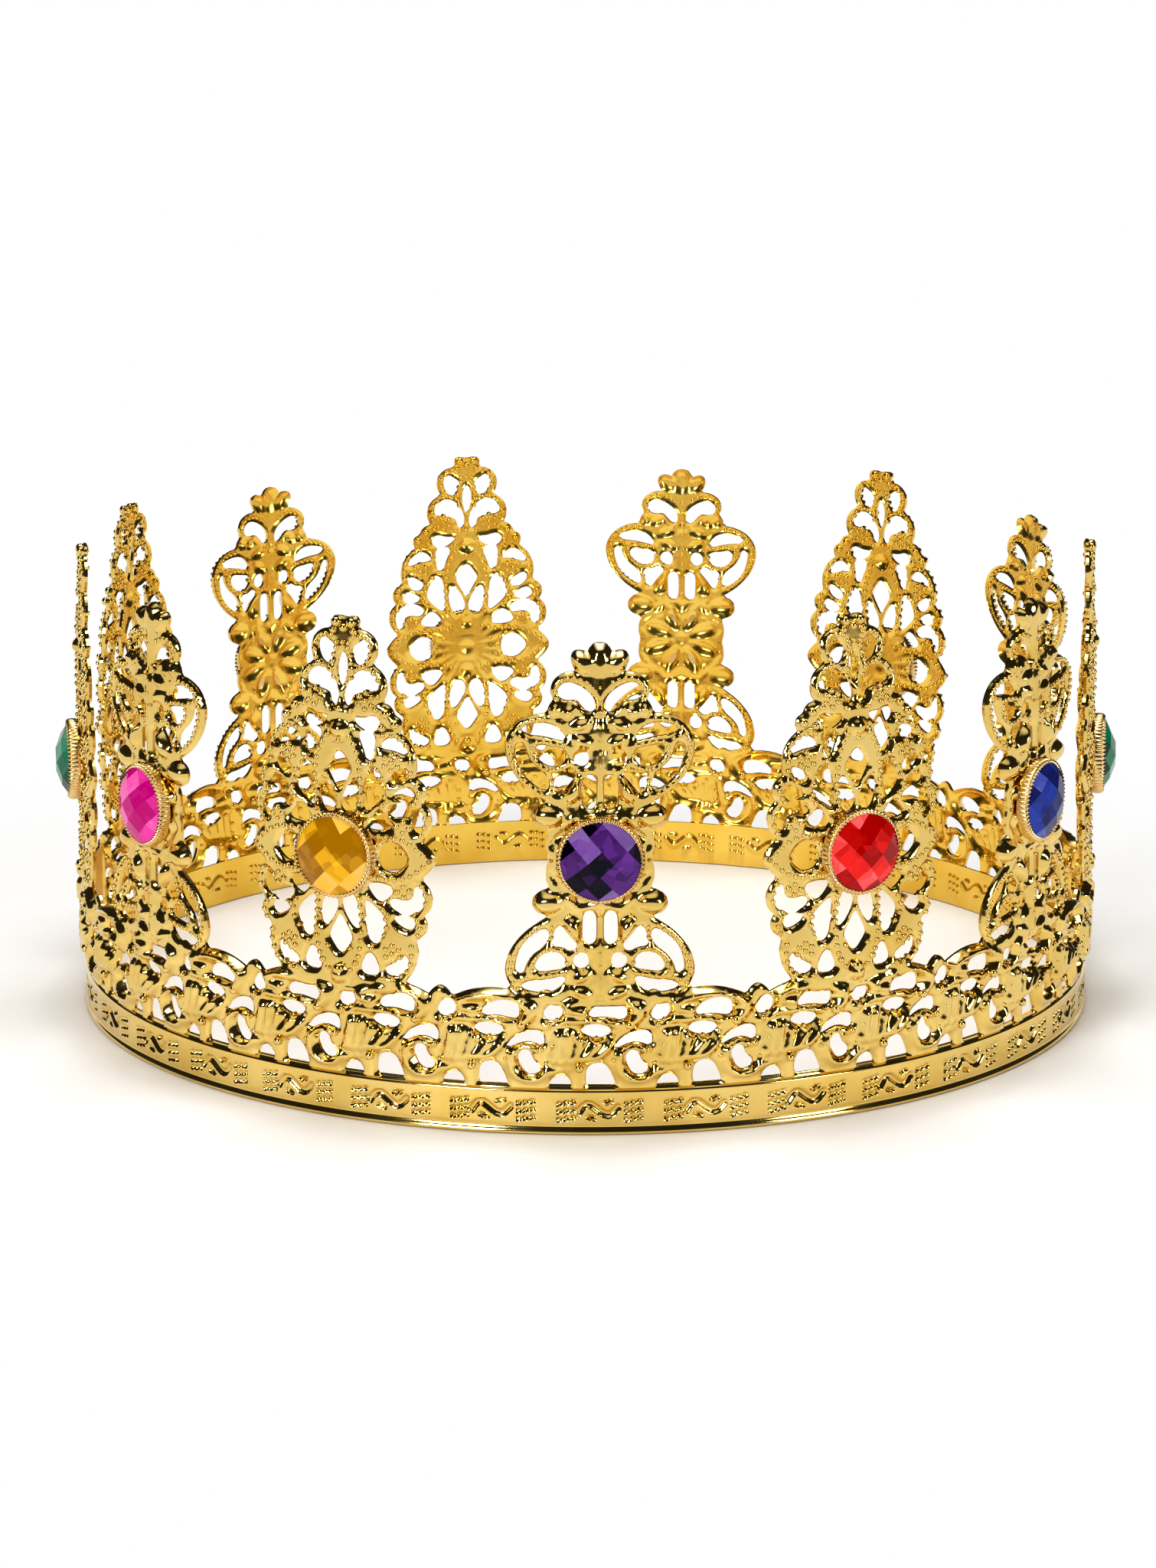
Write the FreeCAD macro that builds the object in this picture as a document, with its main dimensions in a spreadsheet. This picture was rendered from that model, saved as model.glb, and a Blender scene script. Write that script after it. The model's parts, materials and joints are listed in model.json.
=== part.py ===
import FreeCAD, Part
import Sketcher
import math
import os
import re

V = FreeCAD.Vector

# Driving dimensions, in millimetres and degrees.
# The crown stands on its border with +Z up, and its first point faces -Y.
SIZES = {
    # the strip, rolled into a ring that fits round a head
    "head_radius": 94.1,
    "sheet_thickness": 0.6,
    # the plain border along the foot of the strip, with its flared lip
    "lip_height": 1.6,
    "lip_flare": 0.7,
    "border_height": 8.5,
    # the scalloped gallery above the border
    "gallery_top": 23.6,
    "scallop_height": 1.6,
    "scallop_width": 14.8,
    # the two kinds of point
    "palm_tip_height": 84.2,
    "palm_half_width": 16.0,
    "lozenge_tip_height": 87.3,
    "lozenge_half_width": 17.9,
    # gems in their cups
    "palm_gem_height": 48.4,
    "lozenge_gem_height": 46.9,
    "gem_diameter": 14.0,
    "gem_girdle_height": 1.5,
    "gem_crown_height": 2.6,
    "gem_facet_width": 3.4,
    "gem_clearance": 0.1,
    "cup_wall": 0.4,
    "cup_floor": 0.4,
    "cup_depth": 1.7,
    # the flat seat pressed out of the sheet behind each cup
    "seat_proud": 0.5,
    "rosette_half_width": 8.8,
    "rosette_dip": 0.6,
    "boss_margin": 0.8,
}

# The repeat of the strip, counted from the palm point at the front.
POINT_COUNT = 13
PITCHES_PER_POINT = 2.5
FIRST_MOTIF = -8
MOTIF_COUNT = 32
LAST_POINT_BEFORE_SEAM = 9
PETALS = 8
FLATS = 3 * POINT_COUNT
ROUND_SIDES = 16
GEM_SLANT = 40.0
FRONT = -90.0

# How a corner of a sketch is held.
ON_AXIS = "0"
HORIZONTAL_AXIS = -1
VERTICAL_AXIS = -2

doc = FreeCAD.newDocument("crown")
sheet = doc.addObject("Spreadsheet::Sheet", "dimensions")
for row, (alias, size) in enumerate(SIZES.items(), start=1):
    sheet.set("A%d" % row, alias.replace("_", " "))
    sheet.set("B%d" % row, str(size))
    sheet.setAlias("B%d" % row, alias)
doc.recompute()


def dim(alias):
    """One driving dimension, read back from the sheet."""
    return float(sheet.get(alias))


def bound(expression):
    """The expression with each alias read from the sheet."""
    return re.sub(r"[a-z]+_[a-z_]+", r"dimensions.\g<0>", expression)


# Outlines of the ornament.
# Each is drawn flat, x across and z up, for a palm 16 wide each side with its tip at 84.2,
# and a lozenge point 17.9 wide each side with its tip at 87.3, above a gallery 23.6 high.
DRAWN_GALLERY_TOP = 23.6
DRAWN_PALM = {"half_width": 16.0, "tip": 84.2}
DRAWN_LOZENGE = {"half_width": 17.9, "tip": 87.3}
DRAWN_PITCH = 18.366
DRAWN_BORDER_HEIGHT = 8.5

# The right half of each outline, from the gallery up to the tip on the axis.
PALM_OUTLINE = [
    (15.4, 23.6), (16.0, 29.0), (13.8, 34.2), (8.8, 38.6), (11.4, 41.0), (8.7, 43.4),
    (8.7, 53.2), (11.4, 55.6), (8.9, 57.9), (14.0, 62.0), (16.0, 67.4), (13.6, 71.8),
    (8.8, 72.6), (7.9, 75.0), (8.6, 77.0), (6.8, 79.2), (4.2, 79.6), (4.8, 82.6),
    (2.1, 82.6), (1.2, 84.2),
]
LOZENGE_OUTLINE = [
    (12.0, 23.6), (14.3, 28.4), (14.3, 33.2), (16.2, 35.4), (17.1, 40.2), (15.2, 43.6),
    (17.9, 46.9), (15.1, 50.5), (17.1, 54.2), (16.1, 58.6), (14.2, 60.6), (14.0, 65.4),
    (10.9, 68.4), (11.5, 70.6), (7.8, 73.4), (8.3, 77.0), (5.2, 79.4), (6.4, 82.0),
    (5.2, 84.4), (2.5, 85.0), (1.6, 87.3),
]

# Openings, each on the right of the axis and repeated on the left.
PALM_OPENINGS = {
    "leaf": [(1.1, 73.6), (2.0, 76.4), (5.2, 78.1), (6.9, 76.6), (4.4, 75.0)],
    "eye": [(5.8, 66.8), (8.4, 70.9), (12.8, 70.4), (10.2, 64.8)],
    "wing": [(13.2, 67.6), (14.0, 66.4), (12.6, 62.6), (9.3, 60.2), (11.2, 63.8)],
    "stem": [(1.0, 57.4), (1.0, 62.4), (2.6, 62.4), (2.6, 57.4)],
    "lower_stem": [(1.0, 33.6), (1.0, 38.6), (2.5, 38.6), (2.5, 33.6)],
    "lower_wing": [(8.9, 36.2), (12.0, 34.6), (14.0, 31.4), (13.2, 28.9), (11.0, 32.2)],
    "lower_eye": [(5.5, 29.4), (6.0, 31.2), (8.6, 31.6), (10.4, 29.0)],
}
LOZENGE_OPENINGS = {
    "upper_loop": [(1.0, 73.4), (1.2, 76.4), (4.2, 78.4), (6.7, 76.2), (2.6, 75.2)],
    "spandrel": [(5.0, 55.0), (5.4, 61.8), (8.2, 60.4)],
    "side_loop": [(9.5, 54.9), (12.4, 56.8), (15.4, 54.6), (14.7, 52.4)],
    "lozenge": [(7.6, 46.9), (10.2, 49.2), (12.7, 46.9), (10.2, 44.6)],
    "lower_side_loop": [(10.0, 37.8), (14.6, 41.4), (15.5, 39.6), (12.8, 37.1)],
    "lower_spandrel": [(5.2, 39.4), (8.7, 35.4), (5.7, 32.4)],
    "foot_loop": [(8.3, 27.0), (11.9, 29.9), (12.4, 27.8), (10.2, 26.2)],
}
# Openings that lie on the axis of a lozenge point.
LOZENGE_AXIS_OPENINGS = {
    "teardrop": [(0.0, 75.4), (1.1, 80.2), (0.0, 81.9), (-1.1, 80.2)],
    "diamond": [(0.0, 57.6), (2.4, 61.8), (0.0, 64.8), (-2.4, 61.8)],
    "lower_diamond": [(0.0, 28.9), (2.3, 32.2), (0.0, 36.2), (-2.3, 32.2)],
}
# Openings of one repeat of the gallery, with x measured from the middle of its scallop.
GALLERY_OPENINGS = {
    "under_arch": [(-1.8, 20.6), (-0.2, 22.9), (3.6, 22.6), (4.3, 20.4)],
    "bone": [(2.5, 15.0), (4.2, 17.4), (8.5, 18.0), (8.4, 15.6)],
    "curl": [(4.4, 13.4), (6.3, 14.4), (8.0, 11.4), (5.6, 10.5)],
}

# How far a cutting prism runs beyond the sheet, outwards and inwards.
REACH_OUT = 3.0
REACH_IN = 6.0


def scaled(outline, drawn, half_width, tip):
    """The outline of a point, stretched from its drawn size to the sheet's sizes."""
    across = half_width / drawn["half_width"]
    base = dim("gallery_top")
    rise = (tip - base) / (drawn["tip"] - DRAWN_GALLERY_TOP)
    return [(x * across, base + (z - DRAWN_GALLERY_TOP) * rise) for x, z in outline]


def mirrored(outline):
    """The same outline on the other side of the axis."""
    return [(-x, z) for x, z in reversed(outline)]


def flat_face(outline):
    """A flat face in the vertical plane through the axis, x across and z up."""
    corners = [V(x, 0, z) for x, z in outline]
    return Part.Face(Part.makePolygon(corners + corners[:1]))


def flat_distance():
    """From the axis to the outside of a flat of the rolled strip."""
    return dim("head_radius") + dim("sheet_thickness")


def radial_prism(face):
    """The face pushed through the sheet at the front of the ring, along the radius."""
    start = face.translated(V(0, -(flat_distance() + REACH_OUT), 0))
    return start.extrude(V(0, REACH_OUT + REACH_IN, 0))


def turned(shape, degrees):
    """A copy of the shape, turned about the axis of the ring."""
    copy = shape.copy()
    copy.rotate(V(0, 0, 0), V(0, 0, 1), degrees)
    return copy


def is_palm(index):
    """Points alternate, and start again with a lozenge point after the seam."""
    if index <= LAST_POINT_BEFORE_SEAM:
        return index % 2 == 0
    return index % 2 == 1


def pitch_angle():
    """The strip holds two and a half repeats of the gallery to each point."""
    return 360.0 / (POINT_COUNT * PITCHES_PER_POINT)


def strip_pitch():
    """One repeat of the gallery, measured along the strip."""
    return math.radians(pitch_angle()) * flat_distance()


def point_angle(index):
    return index * PITCHES_PER_POINT * pitch_angle()


def scallop_outline(middle):
    """One low arch on top of the gallery."""
    base = dim("gallery_top")
    rise = dim("scallop_height")
    half = dim("scallop_width") / 2
    shape = [(-half, 0.0), (half, 0.0), (half * 0.5, rise), (-half * 0.5, rise)]
    return [(middle + x, base + z) for x, z in shape]


def point_face(outline, scallops):
    """The flat face of one point with the arches that run into its foot."""
    face = flat_face(outline + mirrored(outline))
    arches = [flat_face(scallop_outline(step * strip_pitch())) for step in scallops]
    return face.multiFuse(arches).removeSplitter()


def palm_face():
    """A palm point: a fan over two pairs of wings, with a gem between them."""
    half_width = dim("palm_half_width")
    tip = dim("palm_tip_height")
    face = point_face(scaled(PALM_OUTLINE, DRAWN_PALM, half_width, tip), (-1, 0, 1))
    holes = []
    for outline in PALM_OPENINGS.values():
        hole = scaled(outline, DRAWN_PALM, half_width, tip)
        holes += [flat_face(hole), flat_face(mirrored(hole))]
    return face.cut(holes)


def lozenge_face():
    """A lozenge point: tiers of loops over and under a pair of side lozenges."""
    half_width = dim("lozenge_half_width")
    tip = dim("lozenge_tip_height")
    face = point_face(scaled(LOZENGE_OUTLINE, DRAWN_LOZENGE, half_width, tip), (-0.5, 0.5))
    holes = []
    for outline in LOZENGE_OPENINGS.values():
        hole = scaled(outline, DRAWN_LOZENGE, half_width, tip)
        holes += [flat_face(hole), flat_face(mirrored(hole))]
    for outline in LOZENGE_AXIS_OPENINGS.values():
        holes.append(flat_face(scaled(outline, DRAWN_LOZENGE, half_width, tip)))
    return face.cut(holes)


def gallery_cutters():
    """The prisms that pierce every repeat of the gallery."""
    across = strip_pitch() / DRAWN_PITCH
    base = dim("border_height")
    rise = (dim("gallery_top") - base) / (DRAWN_GALLERY_TOP - DRAWN_BORDER_HEIGHT)
    prisms = []
    for outline in GALLERY_OPENINGS.values():
        middle = sum(x for x, z in outline) / len(outline)
        hole = [((x - middle) * across, base + (z - DRAWN_BORDER_HEIGHT) * rise) for x, z in outline]
        prism = radial_prism(flat_face(hole))
        for motif in range(FIRST_MOTIF, FIRST_MOTIF + MOTIF_COUNT):
            prisms.append(turned(prism, (motif + middle / DRAWN_PITCH) * pitch_angle()))
    return Part.makeCompound(prisms)


def rosette_outline(height):
    """The scalloped edge of the flower behind the gem of a palm point."""
    outline = []
    for step in range(2 * PETALS):
        radius = dim("rosette_half_width")
        if step % 2 == 0:
            radius -= dim("rosette_dip")
        angle = math.pi * step / PETALS
        outline.append((radius * math.cos(angle), height + radius * math.sin(angle)))
    return outline


def boss_outline(height):
    """The eight-sided boss behind the gem of a lozenge point."""
    radius = cup_radius() + dim("boss_margin")
    turn = math.pi / PETALS
    return [
        (radius * math.cos(turn + 2 * turn * step), height + radius * math.sin(turn + 2 * turn * step))
        for step in range(PETALS)
    ]


def cup_radius():
    """The outside of a cup, from the gem outwards."""
    return dim("gem_diameter") / 2 + dim("gem_clearance") + dim("cup_wall")


def seats():
    """The flat seats of the cups, rising from the middle of the sheet."""
    depth = dim("seat_proud") + dim("sheet_thickness") / 2
    front = flat_distance() + dim("seat_proud")
    pads = []
    for index in range(POINT_COUNT):
        if is_palm(index):
            outline = rosette_outline(dim("palm_gem_height"))
        else:
            outline = boss_outline(dim("lozenge_gem_height"))
        pad = flat_face(outline).translated(V(0, -front, 0)).extrude(V(0, depth, 0))
        pads.append(turned(pad, point_angle(index)))
    return Part.makeCompound(pads)


def gem_shape():
    """A flat-backed gem with a crown of square facets, its back on z = 0."""
    radius = dim("gem_diameter") / 2
    girdle = dim("gem_girdle_height")
    crown = dim("gem_crown_height")
    step = dim("gem_facet_width")
    dome = (radius ** 2 + crown ** 2) / (2 * crown)
    centre = V(0, 0, girdle + crown - dome)
    corners = [V(radius, 0, 0)]
    for side in range(1, ROUND_SIDES):
        angle = 2 * math.pi * side / ROUND_SIDES
        corners.append(V(radius * math.cos(angle), radius * math.sin(angle), 0))
    back = Part.Face(Part.makePolygon(corners + corners[:1]))
    stone = back.extrude(V(0, 0, girdle + crown))
    block = 4 * radius
    reach = int(radius / step) + 1
    for across in range(-reach, reach + 1):
        for along in range(-reach, reach + 1):
            spot_x = across * step
            spot_y = along * step
            distance = math.hypot(spot_x, spot_y)
            if distance > radius:
                continue
            normal = V(spot_x, spot_y, math.sqrt(dome ** 2 - distance ** 2)).normalize()
            waste = Part.makeBox(block, block, block, V(-block / 2, -block / 2, 0))
            waste.Placement = FreeCAD.Placement(V(0, 0, 0), FreeCAD.Rotation(V(0, 0, 1), normal))
            waste = waste.translated(centre + normal * dome)
            stone = stone.cut(waste)
    return stone


def evaluate(expression):
    return float(sheet.evalExpression(bound(expression)))


def profile_sketch(body, name, corners):
    """A closed sketch on the vertical plane, each corner held at two expressions."""
    sketch = body.newObject("Sketcher::SketchObject", name)
    plane = [item for item in body.Origin.OriginFeatures if item.Role == "XZ_Plane"][0]
    sketch.AttachmentSupport = [(plane, "")]
    sketch.MapMode = "FlatFace"
    values = [(evaluate(across), evaluate(up)) for across, up in corners]
    for index, (across, up) in enumerate(values):
        next_across, next_up = values[(index + 1) % len(values)]
        sketch.addGeometry(Part.LineSegment(V(across, up, 0), V(next_across, next_up, 0)), False)
    for index, (across, up) in enumerate(corners):
        before = (index - 1) % len(corners)
        sketch.addConstraint(Sketcher.Constraint("Coincident", before, 2, index, 1))
        hold_corner(sketch, index, "DistanceX", across, VERTICAL_AXIS)
        hold_corner(sketch, index, "DistanceY", up, HORIZONTAL_AXIS)
    return sketch


def hold_corner(sketch, index, kind, expression, axis):
    """Keep the start of one line on an axis, or at a bound distance from it."""
    if expression == ON_AXIS:
        sketch.addConstraint(Sketcher.Constraint("PointOnObject", index, 1, axis))
        return
    value = evaluate(expression)
    row = sketch.addConstraint(Sketcher.Constraint(kind, -1, 1, index, 1, value))
    sketch.setExpression("Constraints[%d]" % row, bound(expression))


def revolved_body(label, corners):
    """A body turned from one closed profile about the vertical axis."""
    body = doc.addObject("PartDesign::Body", label)
    body.Label = label
    sketch = profile_sketch(body, label + "_profile", corners)
    turn = body.newObject("PartDesign::Revolution", label + "_turn")
    turn.Profile = sketch
    turn.ReferenceAxis = (sketch, ["V_Axis"])
    turn.Angle = 360.0
    return body


def border_body():
    """The border: a plain band with its foot flared out into a lip."""
    inside = [
        ("head_radius + lip_flare", ON_AXIS),
        ("head_radius", "lip_height"),
        ("head_radius", "border_height"),
    ]
    outside = [(radius + " + sheet_thickness", height) for radius, height in reversed(inside)]
    return revolved_body("border", inside + outside)


def flat_sided(name, sides, radius, height, low="0"):
    """An upright prism about the axis, its corners on the radius."""
    item = doc.addObject("Part::Prism", name)
    item.Polygon = sides
    item.setExpression("Circumradius", bound(radius))
    item.setExpression("Height", bound(height))
    item.setExpression("Placement.Base.z", bound(low))
    return item


def boolean(kind, name, base, tool):
    item = doc.addObject(kind, name)
    item.Base = base
    item.Tool = tool
    item.Refine = False
    return item


def rolled_sheet(name, low, high):
    """The strip between two heights, rolled into a ring of even flats."""
    height = "%s - %s" % (high, low)
    to_corner = " / cos(180 deg / %d)" % FLATS
    outside = "(head_radius + sheet_thickness)" + to_corner
    outer = flat_sided(name + "_outside", FLATS, outside, height, low)
    inner = flat_sided(name + "_inside", FLATS, "head_radius" + to_corner, height, low)
    for item in (outer, inner):
        item.Placement.Rotation = FreeCAD.Rotation(V(0, 0, 1), FRONT + 180.0 / FLATS)
    return boolean("Part::Cut", name, outer, inner)


def feature(name, shape):
    item = doc.addObject("Part::Feature", name)
    item.Shape = shape
    return item


def gallery():
    """The pierced gallery, plain where the strip's ends meet."""
    blank = rolled_sheet("gallery_blank", "border_height", "gallery_top")
    return boolean("Part::Cut", "gallery", blank, feature("gallery_openings", gallery_cutters()))


def points():
    """The points of the crown: one of each kind is cut from the strip, then turned to its places."""
    blank = rolled_sheet("points_blank", "gallery_top", "(lozenge_tip_height + palm_tip_height)")
    rolled = []
    for name, face in (("palm_point", palm_face()), ("lozenge_point", lozenge_face())):
        rolled.append(boolean("Part::Common", name, blank, feature(name + "_form", radial_prism(face))))
    doc.recompute()
    palm, lozenge = [item.Shape for item in rolled]
    copies = []
    for index in range(POINT_COUNT):
        copies.append(turned(palm if is_palm(index) else lozenge, point_angle(index)))
    return feature("points", Part.makeCompound(copies))


def crown_body():
    """The whole strip: border, pierced gallery, points and seats in one piece."""
    body = doc.addObject("Part::MultiFuse", "crown_body")
    body.Label = "crown_body"
    body.Shapes = [border_body(), gallery(), points(), feature("seats", seats())]
    body.Refine = False
    return body


def cup_placement(index):
    """Where the back of a cup lies on its seat, facing outwards."""
    height = dim("palm_gem_height") if is_palm(index) else dim("lozenge_gem_height")
    facing_out = FreeCAD.Rotation(V(1, 0, 0), 90)
    seat = FreeCAD.Placement(V(0, -(flat_distance() + dim("seat_proud")), height), facing_out)
    around = FreeCAD.Placement(V(0, 0, 0), FreeCAD.Rotation(V(0, 0, 1), point_angle(index)))
    return around.multiply(seat)


def gem_cup(index):
    """The cup that holds one gem: a floor and a many-sided wall."""
    label = "gem_cup_%02d" % (index + 1)
    inside = "(gem_diameter / 2 + gem_clearance)"
    outer = flat_sided(label + "_outside", ROUND_SIDES, inside + " + cup_wall", "cup_depth")
    hollow = flat_sided(label + "_inside", ROUND_SIDES, inside, "cup_depth", "cup_floor")
    cup = boolean("Part::Cut", label, outer, hollow)
    cup.Label = label
    cup.Placement = cup_placement(index)
    return cup


def gem(index, stone):
    """One gem, its back on the floor of its cup and its facets set on the slant."""
    label = "gem_%02d" % (index + 1)
    item = feature(label, stone)
    item.Label = label
    slant = FreeCAD.Rotation(V(0, 0, 1), GEM_SLANT)
    lift = FreeCAD.Placement(V(0, 0, dim("cup_floor")), slant)
    item.Placement = cup_placement(index).multiply(lift)
    return item


parts = [crown_body()]
stone = gem_shape()
for number in range(POINT_COUNT):
    parts.append(gem_cup(number))
    parts.append(gem(number, stone))
doc.recompute()

for item in doc.Objects:
    if "Invalid" in item.State or "Error" in item.State:
        raise RuntimeError("not built: " + item.Name)
for item in parts:
    if item.Shape.isNull() or not item.Shape.isValid():
        raise RuntimeError("no valid shape: " + item.Label)

os.makedirs("parts", exist_ok=True)
for item in parts:
    item.Shape.exportStep("parts/%s.step" % item.Label)
    print(item.Label, len(item.Shape.Solids), round(item.Shape.Volume, 2), len(item.Shape.Faces))
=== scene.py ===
import json
import math

import bmesh
import bpy
import numpy as np
from mathutils import Matrix, Vector


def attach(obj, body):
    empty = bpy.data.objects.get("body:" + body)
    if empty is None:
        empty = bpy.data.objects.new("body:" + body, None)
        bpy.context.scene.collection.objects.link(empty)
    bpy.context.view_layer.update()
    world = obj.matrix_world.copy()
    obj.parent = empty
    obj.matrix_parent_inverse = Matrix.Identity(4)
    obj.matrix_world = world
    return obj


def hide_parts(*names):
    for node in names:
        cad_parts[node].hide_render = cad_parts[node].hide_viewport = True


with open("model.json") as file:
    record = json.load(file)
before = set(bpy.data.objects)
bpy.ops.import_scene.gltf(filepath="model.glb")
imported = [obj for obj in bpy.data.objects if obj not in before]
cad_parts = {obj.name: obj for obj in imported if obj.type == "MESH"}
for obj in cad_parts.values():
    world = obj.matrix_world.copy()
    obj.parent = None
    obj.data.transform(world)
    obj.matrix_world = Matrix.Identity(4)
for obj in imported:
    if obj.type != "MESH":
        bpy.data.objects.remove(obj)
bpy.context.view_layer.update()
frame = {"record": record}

# All lengths are in millimetres until a mesh is made.
MM = 0.001

# The strip: its outside radius, its repeats and the grid that it is meshed on.
bore = next(mount for mount in frame["record"]["mounts"] if mount["name"] == "head_opening")
BORE_RADIUS = bore["dims"]["r_mm"]
SHEET_RADIUS = BORE_RADIUS + 0.65
SHEET_THICKNESS = 0.55
BORE_CLEARANCE = 0.02
POINT_COUNT = 13
MOTIF_COUNT = 32
FIRST_MOTIF = -8
LAST_POINT_BEFORE_SEAM = 9
PITCH = 2 * math.pi * SHEET_RADIUS / (2.5 * POINT_COUNT)
CELLS_PER_PITCH = 40
STEP = PITCH / CELLS_PER_PITCH
COLUMNS_PER_POINT = 100
COLUMNS = COLUMNS_PER_POINT * POINT_COUNT
FOOT = 8.2
TOP = 87.25
ROWS = 176
ROW_STEP = (TOP - FOOT) / ROWS
FRONT = -math.pi / 2
# How far the tip of each point is bent in, from a little above its gem.
TIP_LEANS = (4.6, 3.0, 1.6, 1.2, 0.6, 1.0, 0.8, 1.1, 0.7, 0.9, 1.3, 1.6, 3.2)
LEAN_FROM = 55.0
LEAN_CURVE = 1.7

# The pillow that rounds every edge of the sheet.
EDGE_WIDTH = 0.95
EDGE_RISE = 0.55
GALLERY_EDGE_RISE = 0.5
RELIEF_ON_INSIDE = 0.75
# The depth given to the middle of the sheet, and the top edge of the plain stretch at the seam.
DEEP = 9.0
SEAM_TOP = 23.9
# Cutting the corners of an opening shrinks it, and this gives it back.
OPENING_EASE = 0.2
POINT_OPENING_EASE = 0.28
RELIEF_GAIN = 1.3
LOWEST_RELIEF = -0.4
HIGHEST_RELIEF = 1.9
# Relief starts at the cut edge and has its full height this many times sooner than the pillow.
RELIEF_FADE = 1.4
# The gallery ends and the points begin at this height.
GALLERY_END = 24.0


# Shapes in the flat, x across and z up

def smoothed(points, closed=True, passes=2):
    """The same line with its corners cut, twice over."""
    line = np.array(points, float)
    for _ in range(passes):
        after = np.roll(line, -1, axis=0) if closed else line[1:]
        before = line if closed else line[:-1]
        cut = np.stack([0.75 * before + 0.25 * after, 0.25 * before + 0.75 * after], 1).reshape(-1, 2)
        line = cut if closed else np.vstack([line[:1], cut, line[-1:]])
    return line


def line_distance(line, x, z, closed=False):
    """Distance from each node to a line."""
    ends = np.roll(line, -1, axis=0) if closed else line[1:]
    starts = line if closed else line[:-1]
    nearest = np.full(x.shape, 1e3)
    for (x0, z0), (x1, z1) in zip(starts, ends):
        ex, ez = x1 - x0, z1 - z0
        share = ((x - x0) * ex + (z - z0) * ez) / max(ex * ex + ez * ez, 1e-9)
        share = np.clip(share, 0, 1)
        nearest = np.minimum(nearest, np.hypot(x - x0 - share * ex, z - z0 - share * ez))
    return nearest


def inside(points, x, z):
    """Depth inside a closed outline, negative outside it."""
    line = smoothed(points)
    within = np.zeros(x.shape, bool)
    for (x0, z0), (x1, z1) in zip(line, np.roll(line, -1, axis=0)):
        if z0 == z1:
            continue
        crosses = (z0 > z) != (z1 > z)
        within ^= crosses & (x < x0 + (z - z0) * (x1 - x0) / (z1 - z0))
    depth = line_distance(line, x, z, True)
    return np.where(within, depth, -depth)


def dome(x, z, cx, cz, length, width, tilt, rise):
    """A raised petal with a fine groove round it."""
    turn = math.radians(tilt)
    along = ((x - cx) * math.cos(turn) + (z - cz) * math.sin(turn)) / length
    across = (-(x - cx) * math.sin(turn) + (z - cz) * math.cos(turn)) / width
    reach = np.hypot(along, across)
    bump = rise * np.sqrt(np.clip(1 - reach ** 2, 0, 1))
    groove = 0.35 * np.exp(-((reach - 1.1) * min(length, width) / 0.22) ** 2)
    return bump - groove


def fan_lobe(x, z, cx, cz, length, width, tilt):
    """A plump lobe with a hollow down its middle."""
    turn = math.radians(tilt)
    along = ((x - cx) * math.cos(turn) + (z - cz) * math.sin(turn)) / length
    across = (-(x - cx) * math.sin(turn) + (z - cz) * math.cos(turn)) / width
    reach = np.hypot(along, across)
    hollow = 0.45 * np.exp(-(across / 0.3) ** 2) * np.clip(1 - np.abs(along), 0, 1)
    return 0.95 * np.sqrt(np.clip(1 - reach ** 2, 0, 1)) - hollow


def ridge(x, z, points, width, rise):
    """A raised rib, or a groove where the rise is negative."""
    away = line_distance(smoothed(points, False), x, z) / width
    return rise * np.sqrt(np.clip(1 - away ** 2, 0, 1))


def flipped(points, middle):
    return [(x, 2 * middle - z) for x, z in points]


def beads_along(points, spacing, radius):
    """Beads set evenly on a line."""
    line = smoothed(points, False)
    steps = np.hypot(*np.diff(line, axis=0).T)
    reach = np.concatenate([[0], np.cumsum(steps)])
    places = np.linspace(0, reach[-1], max(2, int(round(reach[-1] / spacing)) + 1))
    return [(np.interp(p, reach, line[:, 0]), np.interp(p, reach, line[:, 1]), radius) for p in places]


# The palm point: right half of its outline, from its foot to its tip

PALM_MIDDLE = 48.0
PALM_CORE = [
    (8.6, 48.2), (9.1, 49.6), (9.0, 51.6), (8.2, 53.2), (9.6, 53.3), (11.1, 54.2),
    (11.5, 55.7), (10.6, 57.2), (8.3, 57.8), (9.6, 58.4), (12.5, 60.4), (15.0, 63.3), (16.1, 66.4),
    (15.9, 68.8), (14.2, 71.2), (11.2, 72.5), (8.8, 72.7),
]
PALM_HEAD = [
    (9.0, 73.2), (8.5, 74.4), (7.8, 75.0), (8.6, 76.6), (7.8, 78.6), (5.6, 79.6), (3.9, 79.5),
    (4.6, 80.6), (5.1, 82.0), (4.5, 83.1), (3.1, 83.1), (2.0, 82.6), (1.8, 83.6), (0.9, 84.3),
]
PALM_HALF = [(16.0, 22.6), (16.0, 26.0)] + flipped(PALM_CORE[-2:3:-1], PALM_MIDDLE)[1:] + [
    (8.3, 43.0), (9.1, 44.6), (9.0, 46.6)] + PALM_CORE + PALM_HEAD
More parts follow.
